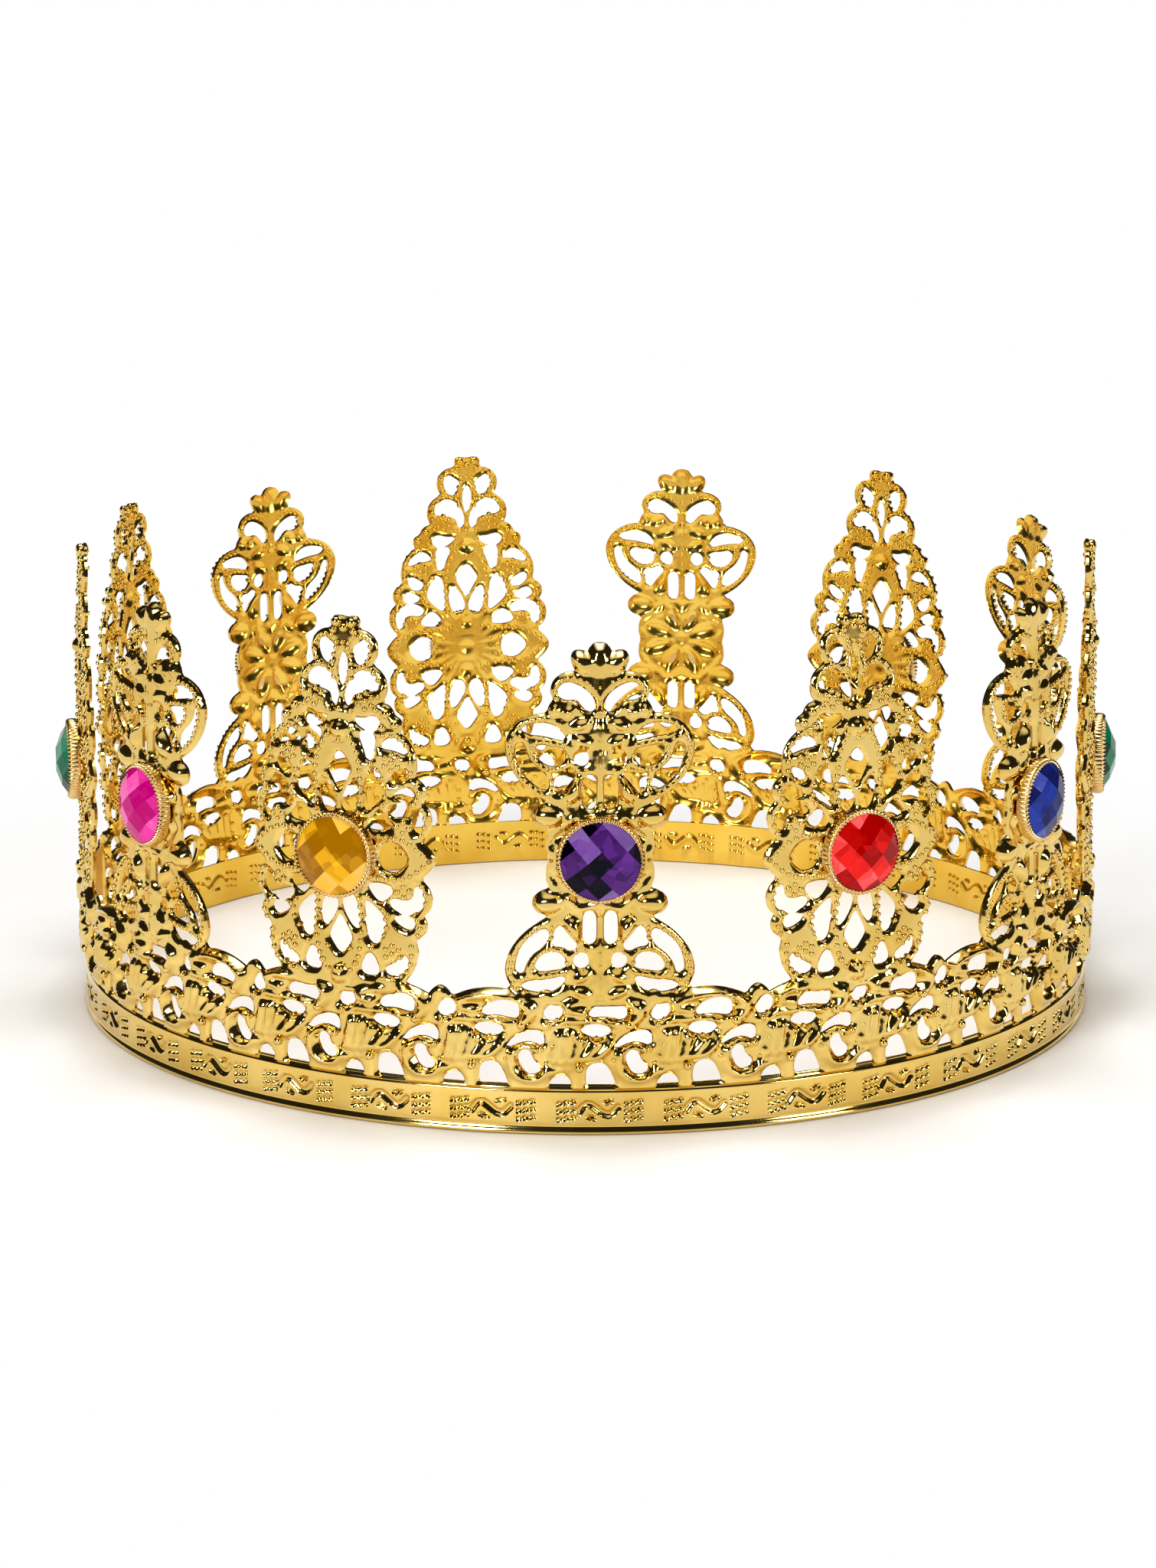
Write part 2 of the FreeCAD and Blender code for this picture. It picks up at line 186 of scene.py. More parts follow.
PALM_CORE_OPENINGS = [
    [(5.9, 68.3), (6.6, 69.6), (8.1, 70.8), (10.4, 71.0), (13.5, 70.3), (12.3, 69.4), (10.2, 69.3),
     (8.1, 68.9)],
    [(6.0, 66.7), (8.1, 67.0), (10.5, 67.4), (10.9, 66.3), (9.8, 64.8), (8.1, 64.1), (6.7, 64.4),
     (6.0, 65.5)],
    [(13.2, 67.8), (14.1, 67.5), (14.1, 66.2), (13.4, 63.6), (12.0, 61.8), (10.3, 60.5), (8.9, 60.1),
     (8.9, 61.6), (9.8, 63.0), (11.6, 64.3), (12.8, 66.0)],
    [(3.9, 62.9), (5.0, 63.8), (6.3, 62.9), (8.1, 62.9), (7.7, 61.0), (6.9, 59.3), (6.1, 60.4), (5.0, 61.8)],
    [(0.95, 57.0), (0.9, 59.6), (0.95, 62.4), (2.7, 62.4), (2.7, 59.6), (2.6, 57.0)],
    [(2.1, 65.4), (2.4, 66.5), (3.4, 66.7), (4.3, 66.1), (4.3, 64.9), (3.4, 64.2), (2.4, 64.4)],
]
PALM_HEAD_OPENINGS = [
    [(1.0, 73.5), (1.3, 75.6), (3.7, 77.3), (5.8, 77.8), (7.1, 76.9), (7.0, 75.6), (5.6, 75.1), (3.9, 75.4),
     (2.9, 74.2), (1.9, 73.2)],
]
PALM_WING_RIB = [(9.4, 71.9), (12.0, 71.6), (14.3, 70.2), (15.2, 68.2), (15.1, 66.0), (14.2, 63.6),
                 (12.4, 61.3), (9.8, 59.4)]
PALM_LOOP_RIB = [(2.3, 78.0), (4.2, 78.8), (6.4, 78.5), (7.8, 76.8), (7.3, 75.3)]
PALM_EYE_RIB = [(6.0, 67.6), (8.4, 68.0), (10.9, 68.3), (11.8, 66.6), (10.6, 64.6), (8.6, 63.4), (6.6, 63.7)]
PALM_PETAL_TURNS = (20, 65, 115, 160, 200, 245, 295, 340)


def palm_relief(x, z):
    """Everything raised or pressed on a palm point, for both halves at once."""
    x = np.abs(x)
    up = np.abs(z - PALM_MIDDLE) + PALM_MIDDLE
    relief = ridge(x, up, [(0, 57.2), (0, 71.2)], 0.55, 0.35)
    relief += ridge(x, up, PALM_WING_RIB, 0.6, 0.12)
    relief += ridge(x, up, PALM_EYE_RIB, 0.45, 0.12)
    relief += dome(x, up, 4.3, 60.0, 2.5, 1.35, 118, 0.85)
    relief += dome(x, up, 8.7, 55.5, 2.6, 1.75, 6, 0.8)
    relief += ridge(x, up, [(0, 55.0), (1.2, 56.3), (2.7, 56.5), (4.2, 55.6), (5.4, 54.6)], 0.45, 0.5)
    relief += ridge(x, up, [(0.5, 53.6), (3.4, 54.4), (6.5, 52.9), (8.2, 50.4)], 0.4, -0.4)
    relief += dome(x, up, 3.1, 71.0, 2.4, 0.85, -24, 0.75)
    relief += dome(x, up, 3.0, 68.3, 2.1, 0.8, 28, 0.7)
    relief += ridge(x, up, [(1.0, 67.0), (1.3, 64.6), (1.9, 63.4), (4.6, 63.5)], 0.4, -0.35)
    for turn in PALM_PETAL_TURNS:
        angle = math.radians(turn)
        whole = dome(x, z, 5.1 * math.cos(angle), 48.4 + 5.1 * math.sin(angle), 3.1, 1.35, turn, 0.75)
        other = dome(-x, z, 5.1 * math.cos(angle), 48.4 + 5.1 * math.sin(angle), 3.1, 1.35, turn, 0.75)
        relief += np.where(x > 0.2, whole, 0.5 * (whole + other))
    head = ridge(x, z, PALM_LOOP_RIB, 0.5, 0.12)
    head += ridge(x, z, [(0, 71.8), (0, 79.0)], 0.6, 0.35)
    head += dome(x, z, 3.0, 73.7, 2.5, 0.8, 38, 0.8)
    head += dome(x, z, 5.4, 73.2, 1.5, 0.75, -28, 0.7)
    head += dome(x, z, 7.6, 73.4, 1.3, 1.0, 20, 0.6)
    head = np.where(z > 79.4, np.maximum(fan_lobe(x, z, 0, 81.7, 2.7, 1.5, 90),
                                         fan_lobe(x, z, 3.2, 81.5, 2.3, 1.35, 48)), head)
    return relief + np.where(z > 71, head, 0)


def palm_beads():
    half = beads_along(PALM_WING_RIB, 1.2, 0.46)
    half += beads_along(PALM_EYE_RIB, 1.15, 0.42)
    half += beads_along([(8.3, 63.4), (8.1, 59.6)], 1.05, 0.42)
    half += [(1.4, 71.9, 0.4), (5.6, 65.8, 0.42), (2.3, 63.5, 0.4), (4.0, 64.0, 0.36), (5.2, 57.6, 0.42)]
    half += [(12.4, 68.6, 0.42), (13.6, 69.0, 0.36), (4.7, 53.7, 0.42), (8.2, 48.0, 0.4)]
    both = half + [(x, 2 * PALM_MIDDLE - z, r) for x, z, r in half]
    both += beads_along(PALM_LOOP_RIB, 1.15, 0.45)
    both += [(7.6, 73.5, 0.45), (2.4, 79.3, 0.3), (5.0, 73.0, 0.4), (3.4, 74.6, 0.36)]
    axis = [(0, z, 0.36) for z in (57.6, 64.0, 66.2, 68.4, 70.6, 72.8, 75.0, 77.2)]
    axis += [(0, 2 * PALM_MIDDLE - z, 0.36) for z in (57.6, 64.0, 66.2, 68.4)]
    return both + [(-x, z, r) for x, z, r in both] + axis


# The lozenge point

LOZENGE_MIDDLE = 46.9
LOZENGE_CORE = [
    (17.9, 46.9), (16.4, 49.0), (14.8, 50.3), (16.6, 51.9), (17.1, 54.0), (16.5, 55.8), (15.2, 56.7),
    (16.1, 57.8), (16.0, 59.4), (15.0, 60.4), (13.9, 60.9), (14.4, 63.0), (13.9, 65.3), (12.6, 67.3),
    (10.9, 68.4),
]
LOZENGE_HEAD = [
    (11.6, 69.2), (11.4, 70.6), (10.0, 71.2), (9.6, 72.4), (8.4, 73.1), (7.5, 73.2), (8.2, 74.0),
    (8.6, 75.6), (8.1, 77.5), (6.6, 78.9), (5.2, 79.2), (5.9, 79.9), (6.5, 81.6), (6.1, 83.5),
    (4.5, 84.8), (2.9, 85.0), (2.5, 85.6), (2.7, 86.6), (1.8, 87.5), (0.6, 87.0),
]
LOZENGE_HALF = [(11.4, 22.6), (12.0, 25.4), (13.8, 27.6), (14.4, 30.6)] + flipped(
    LOZENGE_CORE[-4:0:-1], LOZENGE_MIDDLE) + LOZENGE_CORE + LOZENGE_HEAD
LOZENGE_CORE_OPENINGS = [
    [(3.5, 67.8), (5.0, 68.1), (6.6, 67.8), (6.4, 65.9), (6.3, 63.7), (5.2, 63.5), (4.8, 65.0)],
    [(7.7, 65.8), (9.0, 67.2), (10.5, 67.4), (12.0, 66.3), (13.0, 64.7), (10.2, 65.6), (8.8, 65.7)],
    [(9.3, 60.6), (10.2, 59.5), (11.7, 59.9), (12.7, 61.0), (12.6, 62.3), (11.4, 62.0)],
    [(1.6, 53.9), (0.6, 55.0), (0.6, 56.5), (1.8, 58.8), (3.2, 60.1), (3.7, 58.2), (3.5, 56.2), (2.6, 54.2)],
    [(4.8, 54.8), (5.0, 58.2), (5.4, 61.6), (6.9, 62.3), (7.8, 60.5), (8.7, 58.2), (7.4, 56.6), (5.8, 55.3)],
    [(10.0, 57.6), (11.8, 58.8), (13.1, 59.2), (13.9, 58.2), (13.5, 57.2), (11.4, 57.0)],
    [(9.3, 54.8), (10.0, 55.8), (11.8, 56.5), (13.7, 56.2), (15.2, 55.3), (15.6, 53.6), (14.9, 51.4),
     (13.9, 52.2), (13.9, 53.6), (13.0, 54.4), (11.4, 54.4), (10.2, 54.1)],
    [(5.1, 51.9), (6.8, 54.2), (7.8, 54.7), (9.6, 53.3), (9.9, 52.2), (7.7, 51.7)],
]
LOZENGE_SIDE_OPENING = [(7.5, 46.9), (8.0, 48.8), (9.5, 49.3), (11.0, 49.0), (12.9, 46.9), (11.0, 44.8),
                        (9.5, 44.5), (8.0, 45.0)]
LOZENGE_HEAD_OPENINGS = [
    [(1.7, 82.0), (3.2, 82.9), (4.1, 83.5), (5.0, 82.6), (4.6, 80.6), (3.2, 79.1), (2.2, 80.2)],
    [(0.9, 72.6), (0.6, 74.6), (1.8, 77.0), (3.6, 78.3), (5.6, 78.1), (6.8, 76.8), (6.9, 75.5), (5.5, 75.3),
     (2.4, 74.7), (1.9, 73.6), (1.7, 72.4)],
    [(2.5, 70.3), (3.6, 69.1), (5.5, 68.4), (7.0, 68.8), (7.5, 70.1), (6.4, 70.9), (4.5, 70.2)],
]
LOZENGE_AXIS_OPENINGS = [
    [(0, 75.0), (0.9, 76.8), (1.1, 79.2), (0.7, 80.7), (0, 81.6), (-0.7, 80.7), (-1.1, 79.2), (-0.9, 76.8)],
    [(0, 65.2), (1.9, 62.7), (2.5, 61.6), (1.3, 59.4), (0, 57.1), (-1.3, 59.4), (-2.5, 61.6), (-1.9, 62.7)],
]
LOZENGE_FOOT_OPENINGS = [
    [(8.2, 27.2), (9.4, 26.2), (11.9, 26.5), (12.8, 29.0), (11.8, 30.0), (10.4, 28.3)],
    [(3.5, 26.1), (7.6, 26.1), (6.2, 29.6), (5.0, 29.6)],
]
LOZENGE_RIBS = [
    [(2.2, 84.1), (4.4, 84.1), (5.6, 82.6), (5.5, 80.8), (4.3, 79.1)],
    [(0.7, 74.6), (1.8, 77.4), (1.9, 80.0), (1.1, 82.0)],
    [(2.2, 78.4), (4.4, 79.2), (6.6, 78.2), (7.7, 76.3), (7.3, 74.4)],
]
LOZENGE_CORE_RIBS = [
    [(2.2, 67.2), (3.6, 65.2), (4.2, 62.6), (4.4, 59.6), (4.2, 56.8), (4.0, 54.4)],
    [(8.4, 68.0), (10.9, 68.0), (12.7, 66.7), (13.6, 64.4), (13.5, 62.0)],
    [(6.2, 63.0), (8.2, 61.2), (9.3, 58.4), (8.4, 56.0)],
    [(14.7, 59.9), (15.3, 58.7), (14.6, 57.4)],
    [(9.4, 56.9), (11.8, 57.2), (14.4, 56.6), (16.1, 54.9), (16.2, 53.0), (15.4, 51.3)],
    [(3.4, 51.2), (6.0, 50.4), (9.0, 50.7), (12.0, 50.4), (14.6, 49.0), (16.8, 46.9)],
    [(6.6, 47.2), (7.4, 49.3), (10.0, 50.3)],
]
FLOWER_RING = 1.35


def lozenge_relief(x, z):
    """Everything raised or pressed on a lozenge point."""
    x = np.abs(x)
    up = np.abs(z - LOZENGE_MIDDLE) + LOZENGE_MIDDLE
    relief = np.zeros(x.shape)
    for rib in LOZENGE_CORE_RIBS:
        relief += ridge(x, up, rib, 0.5, 0.15)
    for turn in (0, 20, 38, 55, 72, 90):
        angle = math.radians(turn)
        far = (8.2 * math.cos(angle), LOZENGE_MIDDLE + 8.2 * math.sin(angle))
        near = (1.4 * math.cos(angle), LOZENGE_MIDDLE + 1.4 * math.sin(angle))
        relief += ridge(x, up, [near, far], 0.35, -0.4)
    relief += dome(x, up, 0, 68.4, 1.7, 1.5, 0, 0.9)
    relief += dome(x, up, 0, 52.0, 1.1, 1.1, 0, 0.6)
    relief += dome(x, up, 8.2, 59.4, 1.0, 0.8, 0, 0.3)
    head = np.zeros(x.shape)
    for rib in LOZENGE_RIBS:
        head += ridge(x, z, rib, 0.5, 0.15)
    head += ridge(x, z, [(0.3, 70.4), (0.6, 72.4), (0.2, 74.6)], 0.5, 0.4)
    return relief + np.where(z > 69, head, 0)


def flower(cx, cz, radius):
    """Six beads round a seventh."""
    turns = [math.radians(60 * k + 30) for k in range(6)]
    ring = [(cx + FLOWER_RING * math.cos(t), cz + FLOWER_RING * math.sin(t), radius) for t in turns]
    return ring + [(cx, cz, radius)]


def lozenge_beads():
    half = flower(10.0, 63.5, 0.55)
    half += [(11.0, 52.6, 0.6), (12.2, 53.4, 0.6), (13.2, 52.3, 0.6), (12.1, 51.6, 0.45)]
    for rib in LOZENGE_CORE_RIBS:
        half += beads_along(rib, 1.5, 0.52)
    half += [(6.9, 52.6 - 5.4, 0.5), (5.0, 48.6, 0.5), (5.2, 46.9, 0.55), (6.0, 52.0, 0.4)]
    both = half + [(x, 2 * LOZENGE_MIDDLE - z, r) for x, z, r in half]
    both += flower(4.9, 73.5, 0.55)
    both += [(8.8, 71.6, 0.85), (10.5, 69.9, 0.85), (8.2, 69.2, 0.75), (6.9, 72.2, 0.6)]
    for rib in LOZENGE_RIBS:
        both += beads_along(rib, 1.4, 0.5)
    both += [(1.5, 86.4, 0.95), (2.0, 84.9, 0.7), (1.2, 82.9, 0.5), (2.2, 71.6, 0.5), (2.4, 68.6, 0.5)]
    both += [(3.2, 28.0, 0.6), (2.2, 30.4, 0.5)]
    axis = [(0, 85.4, 0.8), (0, 83.0, 0.5), (0, 71.8, 0.6), (0, 66.4, 0.5), (0, 26.6, 1.1)]
    return both + [(-x, z, r) for x, z, r in both] + axis


# One repeat of the gallery, x from the middle of its scallop

GALLERY_OPENINGS = [
    [(-1.9, 20.5), (-1.3, 22.3), (1.5, 23.3), (4.1, 22.9), (4.5, 21.6), (4.2, 20.1), (1.0, 20.9)],
    [(8.5, 21.0), (10.3, 23.4), (11.9, 22.4), (11.6, 20.5), (9.7, 19.9)],
    [(-3.5, 18.3), (-1.7, 19.3), (0.6, 19.1), (2.1, 18.2), (0.5, 17.1), (-1.5, 17.2)],
    [(2.3, 14.9), (3.8, 17.1), (7.0, 18.3), (8.7, 17.7), (8.7, 15.4), (7.0, 16.3), (5.0, 16.3)],
    [(4.4, 13.1), (4.9, 14.6), (6.3, 14.6), (6.8, 12.9), (8.2, 11.8), (7.7, 10.6), (5.8, 10.5)],
    [(-2.3, 8.0), (-2.2, 11.6), (-0.9, 12.4), (0.8, 12.4), (1.9, 10.4), (2.8, 8.0)],
    [(-8.6, 8.0), (-8.2, 9.6), (-6.6, 10.5), (-5.3, 9.8), (-4.9, 8.0)],
]
GALLERY_RIDGES = [
    ([(-7.8, 22.4), (-5.0, 24.0), (-1.0, 24.6), (3.0, 24.4), (6.2, 23.0), (6.8, 21.2), (5.4, 20.0)],
     1.05, 1.0),
    ([(-9.0, 19.2), (-6.4, 20.4), (-3.4, 20.0), (-0.6, 20.3), (2.4, 19.5)], 0.6, 0.7),
    ([(3.2, 12.4), (3.4, 14.4), (5.2, 15.6), (7.4, 15.2), (8.6, 15.6)], 0.6, 0.8),
    ([(3.2, 12.4), (3.9, 10.4), (5.8, 9.6), (8.0, 9.9), (9.4, 11.4)], 0.6, 0.8),
    ([(-8.8, 10.6), (-6.4, 11.5), (-3.8, 12.0)], 0.5, 0.4),
]
GALLERY_LEAVES = [
    [(-7.9, 13.0), (-7.2, 15.2), (-7.0, 17.8)],
    [(-6.3, 12.8), (-5.5, 15.0), (-5.2, 17.9)],
    [(-4.8, 12.9), (-3.7, 14.9), (-3.2, 17.2)],
    [(-3.2, 13.3), (-1.6, 14.8), (-0.4, 16.4)],
    [(-1.8, 13.3), (0.2, 14.2), (1.6, 15.8)],
    [(-8.0, 20.9), (-5.6, 22.2), (-2.6, 21.5)],
]
GALLERY_BEADS = [
    (5.0, 19.4, 0.95), (-8.6, 19.4, 0.6), (-7.3, 19.9, 0.5), (-7.5, 15.8, 0.55), (-7.4, 13.8, 0.45),
    (-6.7, 12.7, 0.4), (8.3, 15.1, 0.65), (-3.5, 11.8, 0.85), (2.6, 15.9, 0.5), (2.2, 17.4, 0.45),
    (-5.6, 18.0, 0.5), (2.3, 13.2, 0.45), (-0.6, 16.9, 0.4), (9.2, 12.6, 0.45),
]


# The scalloped edge of the gallery: the height and bend of its arches and bumps, and its lowest dip
ARCH_TOP = 25.4
ARCH_BEND = 0.036
BUMP_TOP = 25.3
BUMP_BEND = 0.4
LOWEST_DIP = 23.3
LEAF_WIDTH = 0.7
LEAF_RISE = 0.95


def gallery_top(x):
    """The scalloped edge: a wide arch, a dip and a small bump half a pitch along."""
    near = np.abs((x + PITCH / 2) % PITCH - PITCH / 2)
    arch = ARCH_TOP - ARCH_BEND * near ** 2
    bump = BUMP_TOP - BUMP_BEND * (PITCH / 2 - near) ** 2
    return np.maximum(np.maximum(arch, bump), LOWEST_DIP)


def gallery_field(x, z):
    depth = np.minimum(gallery_top(x) - z, DEEP)
    for shift in (-PITCH, 0, PITCH):
        for opening in GALLERY_OPENINGS:
            depth = np.minimum(depth, -inside(opening, x - shift, z) - OPENING_EASE)
    return depth


def gallery_relief(x, z):
    relief = np.zeros(x.shape)
    for shift in (-PITCH, 0, PITCH):
        for line, width, rise in GALLERY_RIDGES:
            relief = np.maximum(relief, ridge(x - shift, z, line, width, rise))
    for shift in (-PITCH, 0, PITCH):
        for line in GALLERY_LEAVES:
            relief = np.maximum(relief, ridge(x - shift, z, line, LEAF_WIDTH, LEAF_RISE))
    return relief


def point_field(half, openings, axis_openings, x, z):
    """Depth inside a point: its outline less its openings, drawn for x of either sign."""
    outline = half + [(-x_, z_) for x_, z_ in reversed(half)]
    depth = inside(outline, x, z) + 0.1
    side = np.abs(x)
    for opening in openings:
        depth = np.minimum(depth, -inside(opening, side, z) - POINT_OPENING_EASE)
    for opening in axis_openings:
        depth = np.minimum(depth, -inside(opening, x, z))
    return depth


def turned_over(openings, middle):
    return [flipped(opening, middle) for opening in openings]


# The whole strip as one grid of depths and heights

local = np.arange(-COLUMNS_PER_POINT // 2 + 8, COLUMNS_PER_POINT // 2 - 7)
levels = FOOT + ROW_STEP * np.arange(ROWS + 1)
local_x, local_z = np.meshgrid(local * STEP, levels, indexing="ij")
palm_depth = point_field(
    PALM_HALF, PALM_CORE_OPENINGS + turned_over(PALM_CORE_OPENINGS, PALM_MIDDLE) + PALM_HEAD_OPENINGS, [],
    local_x, local_z)
lozenge_depth = point_field(
    LOZENGE_HALF,
    LOZENGE_CORE_OPENINGS + turned_over(LOZENGE_CORE_OPENINGS[3:], LOZENGE_MIDDLE) + [LOZENGE_SIDE_OPENING]
    + LOZENGE_HEAD_OPENINGS + LOZENGE_FOOT_OPENINGS,
    LOZENGE_AXIS_OPENINGS + turned_over(LOZENGE_AXIS_OPENINGS[1:], LOZENGE_MIDDLE),
    local_x, local_z)
palm_height = palm_relief(local_x, local_z)
lozenge_height = lozenge_relief(local_x, local_z)

pitch_columns = np.arange(-CELLS_PER_PITCH // 2, CELLS_PER_PITCH // 2)
pitch_x, pitch_z = np.meshgrid(pitch_columns * STEP, levels, indexing="ij")
motif_depth = gallery_field(pitch_x, pitch_z)
motif_height = gallery_relief(pitch_x, pitch_z)

depth = np.tile(np.minimum(SEAM_TOP - levels, DEEP), (COLUMNS, 1))
relief = np.zeros((COLUMNS, ROWS + 1))
beads = []
for motif in range(FIRST_MOTIF, FIRST_MOTIF + MOTIF_COUNT):
    where = (motif * CELLS_PER_PITCH + pitch_columns) % COLUMNS
    depth[where] = motif_depth
    relief[where] = motif_height
    beads += [(motif * PITCH + x, z, r) for x, z, r in GALLERY_BEADS]


def is_palm(index):
    """Palms are the even points as far as the seam, and the odd ones after it."""
    return index % 2 == (0 if index <= LAST_POINT_BEFORE_SEAM else 1)


for index in range(POINT_COUNT):
    where = (index * COLUMNS_PER_POINT + local) % COLUMNS
    point_depth = palm_depth if is_palm(index) else lozenge_depth
    point_height = palm_height if is_palm(index) else lozenge_height
    above = point_depth > depth[where]
    relief[where] = np.where(above & (local_z > 22.8), point_height, relief[where])
    depth[where] = np.maximum(depth[where], point_depth)
    own = palm_beads() if is_palm(index) else lozenge_beads()
    beads += [(index * COLUMNS_PER_POINT * STEP + x, z, r) for x, z, r in own if z > 24.6]

# Nodes close to an edge of the sheet are moved onto it, and the rest stay on the grid.
SNAP_REACH = 0.53 * STEP
slope_x = (np.roll(depth, -1, 0) - np.roll(depth, 1, 0)) / (2 * STEP)
slope_z = np.gradient(depth, ROW_STEP, axis=1)
slope = np.maximum(np.hypot(slope_x, slope_z), 0.5)
distance = depth / slope
on_edge = np.abs(distance) < SNAP_REACH
on_edge[:, 0] = False
kept = (depth > 0) | on_edge
node_x, node_z = np.meshgrid(np.arange(COLUMNS) * STEP, levels, indexing="ij")
node_x = node_x - np.where(on_edge, distance * slope_x / slope, 0)
node_z = node_z - np.where(on_edge, distance * slope_z / slope, 0)
node_z = np.minimum(node_z, TOP)

relief *= RELIEF_GAIN
for axis in (0, 1):
    relief = 0.5 * relief + 0.25 * (np.roll(relief, 1, axis) + np.roll(relief, -1, axis))
into = np.clip(np.where(on_edge, 0, depth) / EDGE_WIDTH, 0, 1)
pillow = np.where(levels < GALLERY_END, GALLERY_EDGE_RISE, EDGE_RISE) * np.sqrt(1 - (1 - into) ** 2)
raised = pillow + relief * np.clip(into * RELIEF_FADE, 0, 1)
raised = np.clip(raised, LOWEST_RELIEF, HIGHEST_RELIEF)
lean = np.zeros(depth.shape)
for index, tip_lean in enumerate(TIP_LEANS):
    where = (index * COLUMNS_PER_POINT + np.arange(-COLUMNS_PER_POINT // 2, COLUMNS_PER_POINT // 2)) % COLUMNS
    lean[where] = tip_lean * np.clip((levels - LEAN_FROM) / (TOP - LEAN_FROM), 0, 1) ** LEAN_CURVE
outer_radius = SHEET_RADIUS + raised - lean
inner_radius = np.maximum(
    SHEET_RADIUS - SHEET_THICKNESS + RELIEF_ON_INSIDE * raised, BORE_RADIUS + BORE_CLEARANCE) - lean


def on_ring(x, z, radius):
    """Points of the flat strip, bent round the ring."""
    angle = FRONT + x / SHEET_RADIUS
    return np.stack([radius * np.cos(angle), radius * np.sin(angle), z], -1)


NODES = COLUMNS * (ROWS + 1)
number = np.arange(NODES).reshape(COLUMNS, ROWS + 1)
corner = [number[:, :-1], np.roll(number, -1, 0)[:, :-1], np.roll(number, -1, 0)[:, 1:], number[:, 1:]]
held = [kept.reshape(-1)[c] for c in corner]
count = sum(h.astype(int) for h in held)
cell_column = np.repeat(np.arange(COLUMNS)[:, None], ROWS, 1)
quads = np.stack([c[count == 4] for c in corner], -1)
quad_column = cell_column[count == 4]
triangles = []
triangle_column = []
for missing in range(4):
    three = (count == 3) & ~held[missing]
    left = [corner[(missing + k) % 4][three] for k in (1, 2, 3)]
    triangles.append(np.stack(left, -1))
    triangle_column.append(cell_column[three])
triangles = np.concatenate(triangles)
triangle_column = np.concatenate(triangle_column)

edges = np.concatenate([
    quads[:, [0, 1]], quads[:, [1, 2]], quads[:, [2, 3]], quads[:, [3, 0]],
    triangles[:, [0, 1]], triangles[:, [1, 2]], triangles[:, [2, 0]]])
edge_column = np.concatenate([quad_column] * 4 + [triangle_column] * 3)
key = np.minimum(edges[:, 0], edges[:, 1]) * NODES + np.maximum(edges[:, 0], edges[:, 1])
_, first, times = np.unique(key, return_index=True, return_counts=True)
rim = edges[first[times == 1]]
rim_column = edge_column[first[times == 1]]

outside = on_ring(node_x, node_z, outer_radius).reshape(-1, 3)
within = on_ring(node_x, node_z, inner_radius).reshape(-1, 3)


def vertex_normals(places, quads, triangles, sign):
    normals = np.zeros_like(places)
    across = np.cross(places[quads[:, 2]] - places[quads[:, 0]], places[quads[:, 3]] - places[quads[:, 1]])
    for k in range(4):
        np.add.at(normals, quads[:, k], across)
    across = np.cross(places[triangles[:, 1]] - places[triangles[:, 0]],
                      places[triangles[:, 2]] - places[triangles[:, 0]])
    for k in range(3):
        np.add.at(normals, triangles[:, k], across)
    return sign * normals / np.maximum(np.linalg.norm(normals, axis=1, keepdims=True), 1e-9)


outside_normals = vertex_normals(outside, quads, triangles, 1)
within_normals = vertex_normals(within, quads, triangles, -1)

BEAD_SIDES = 8
BEAD_RINGS = 2
BEAD_SINK = 0.0
INSIDE_BEAD = 0.95
HIGHEST_BEAD_SEAT = 0.8


def bead_mesh():
    """The upper part of a ball: places on it, and its faces."""
    places = [(0.0, 0.0, 1.0)]
    for ring in range(1, BEAD_RINGS + 1):
        tilt = ring * math.radians(105) / BEAD_RINGS
        for side in range(BEAD_SIDES):
            turn = 2 * math.pi * side / BEAD_SIDES
            places.append((math.sin(tilt) * math.cos(turn), math.sin(tilt) * math.sin(turn), math.cos(tilt)))
    faces = []
    for side in range(BEAD_SIDES):
        after = (side + 1) % BEAD_SIDES
        faces.append((0, 1 + side, 1 + after))
        for ring in range(BEAD_RINGS - 1):
            a = 1 + ring * BEAD_SIDES
            faces.append((a + side, a + BEAD_SIDES + side, a + BEAD_SIDES + after, a + after))
    return np.array(places), faces


BALL, BALL_FACES = bead_mesh()


def metal_at(x, z):
    """Depth inside the sheet at a place on the strip."""
    column = int(round(x / STEP)) % COLUMNS
    row = int(np.clip(round((z - FOOT) / ROW_STEP), 0, ROWS))
    return depth[column, row]


def ball_places(x, z, radius, side):
    """A bead on the sheet, with its normals, in millimetres. The side is 1 outside and -1 inside."""
    column = int(round(x / STEP)) % COLUMNS
    row = int(np.clip(round((z - FOOT) / ROW_STEP), 0, ROWS))
    angle = FRONT + x / SHEET_RADIUS
    across = np.array([-math.sin(angle), math.cos(angle), 0])
    away = np.array([math.cos(angle), math.sin(angle), 0])
    up = np.array([0, 0, 1.0])
    normals = side * BALL[:, :1] * across + BALL[:, 1:2] * up + side * BALL[:, 2:] * away
    if side > 0:
        level = SHEET_RADIUS + min(raised[column, row], HIGHEST_BEAD_SEAT) - lean[column, row] - BEAD_SINK * radius
    else:
        level = inner_radius[column, row] + BEAD_SINK * radius
        radius = radius * INSIDE_BEAD
    middle = away * level + up * min(z, TOP - radius)
    return middle + normals * radius, normals


def make_mesh(name, places, faces, normals, inner_faces):
    """A smooth mesh from places in millimetres, faces of three or four corners, and normals."""
    mesh = bpy.data.meshes.new(name)
    mesh.from_pydata((places * MM).tolist(), [], faces)
    mesh.polygons.foreach_set("use_smooth", [True] * len(mesh.polygons))
    mesh.normals_split_custom_set_from_vertices(normals.tolist())
    mesh.polygons.foreach_set("material_index", inner_faces)
    obj = bpy.data.objects.new(name, mesh)
    bpy.context.scene.collection.objects.link(obj)
    return obj


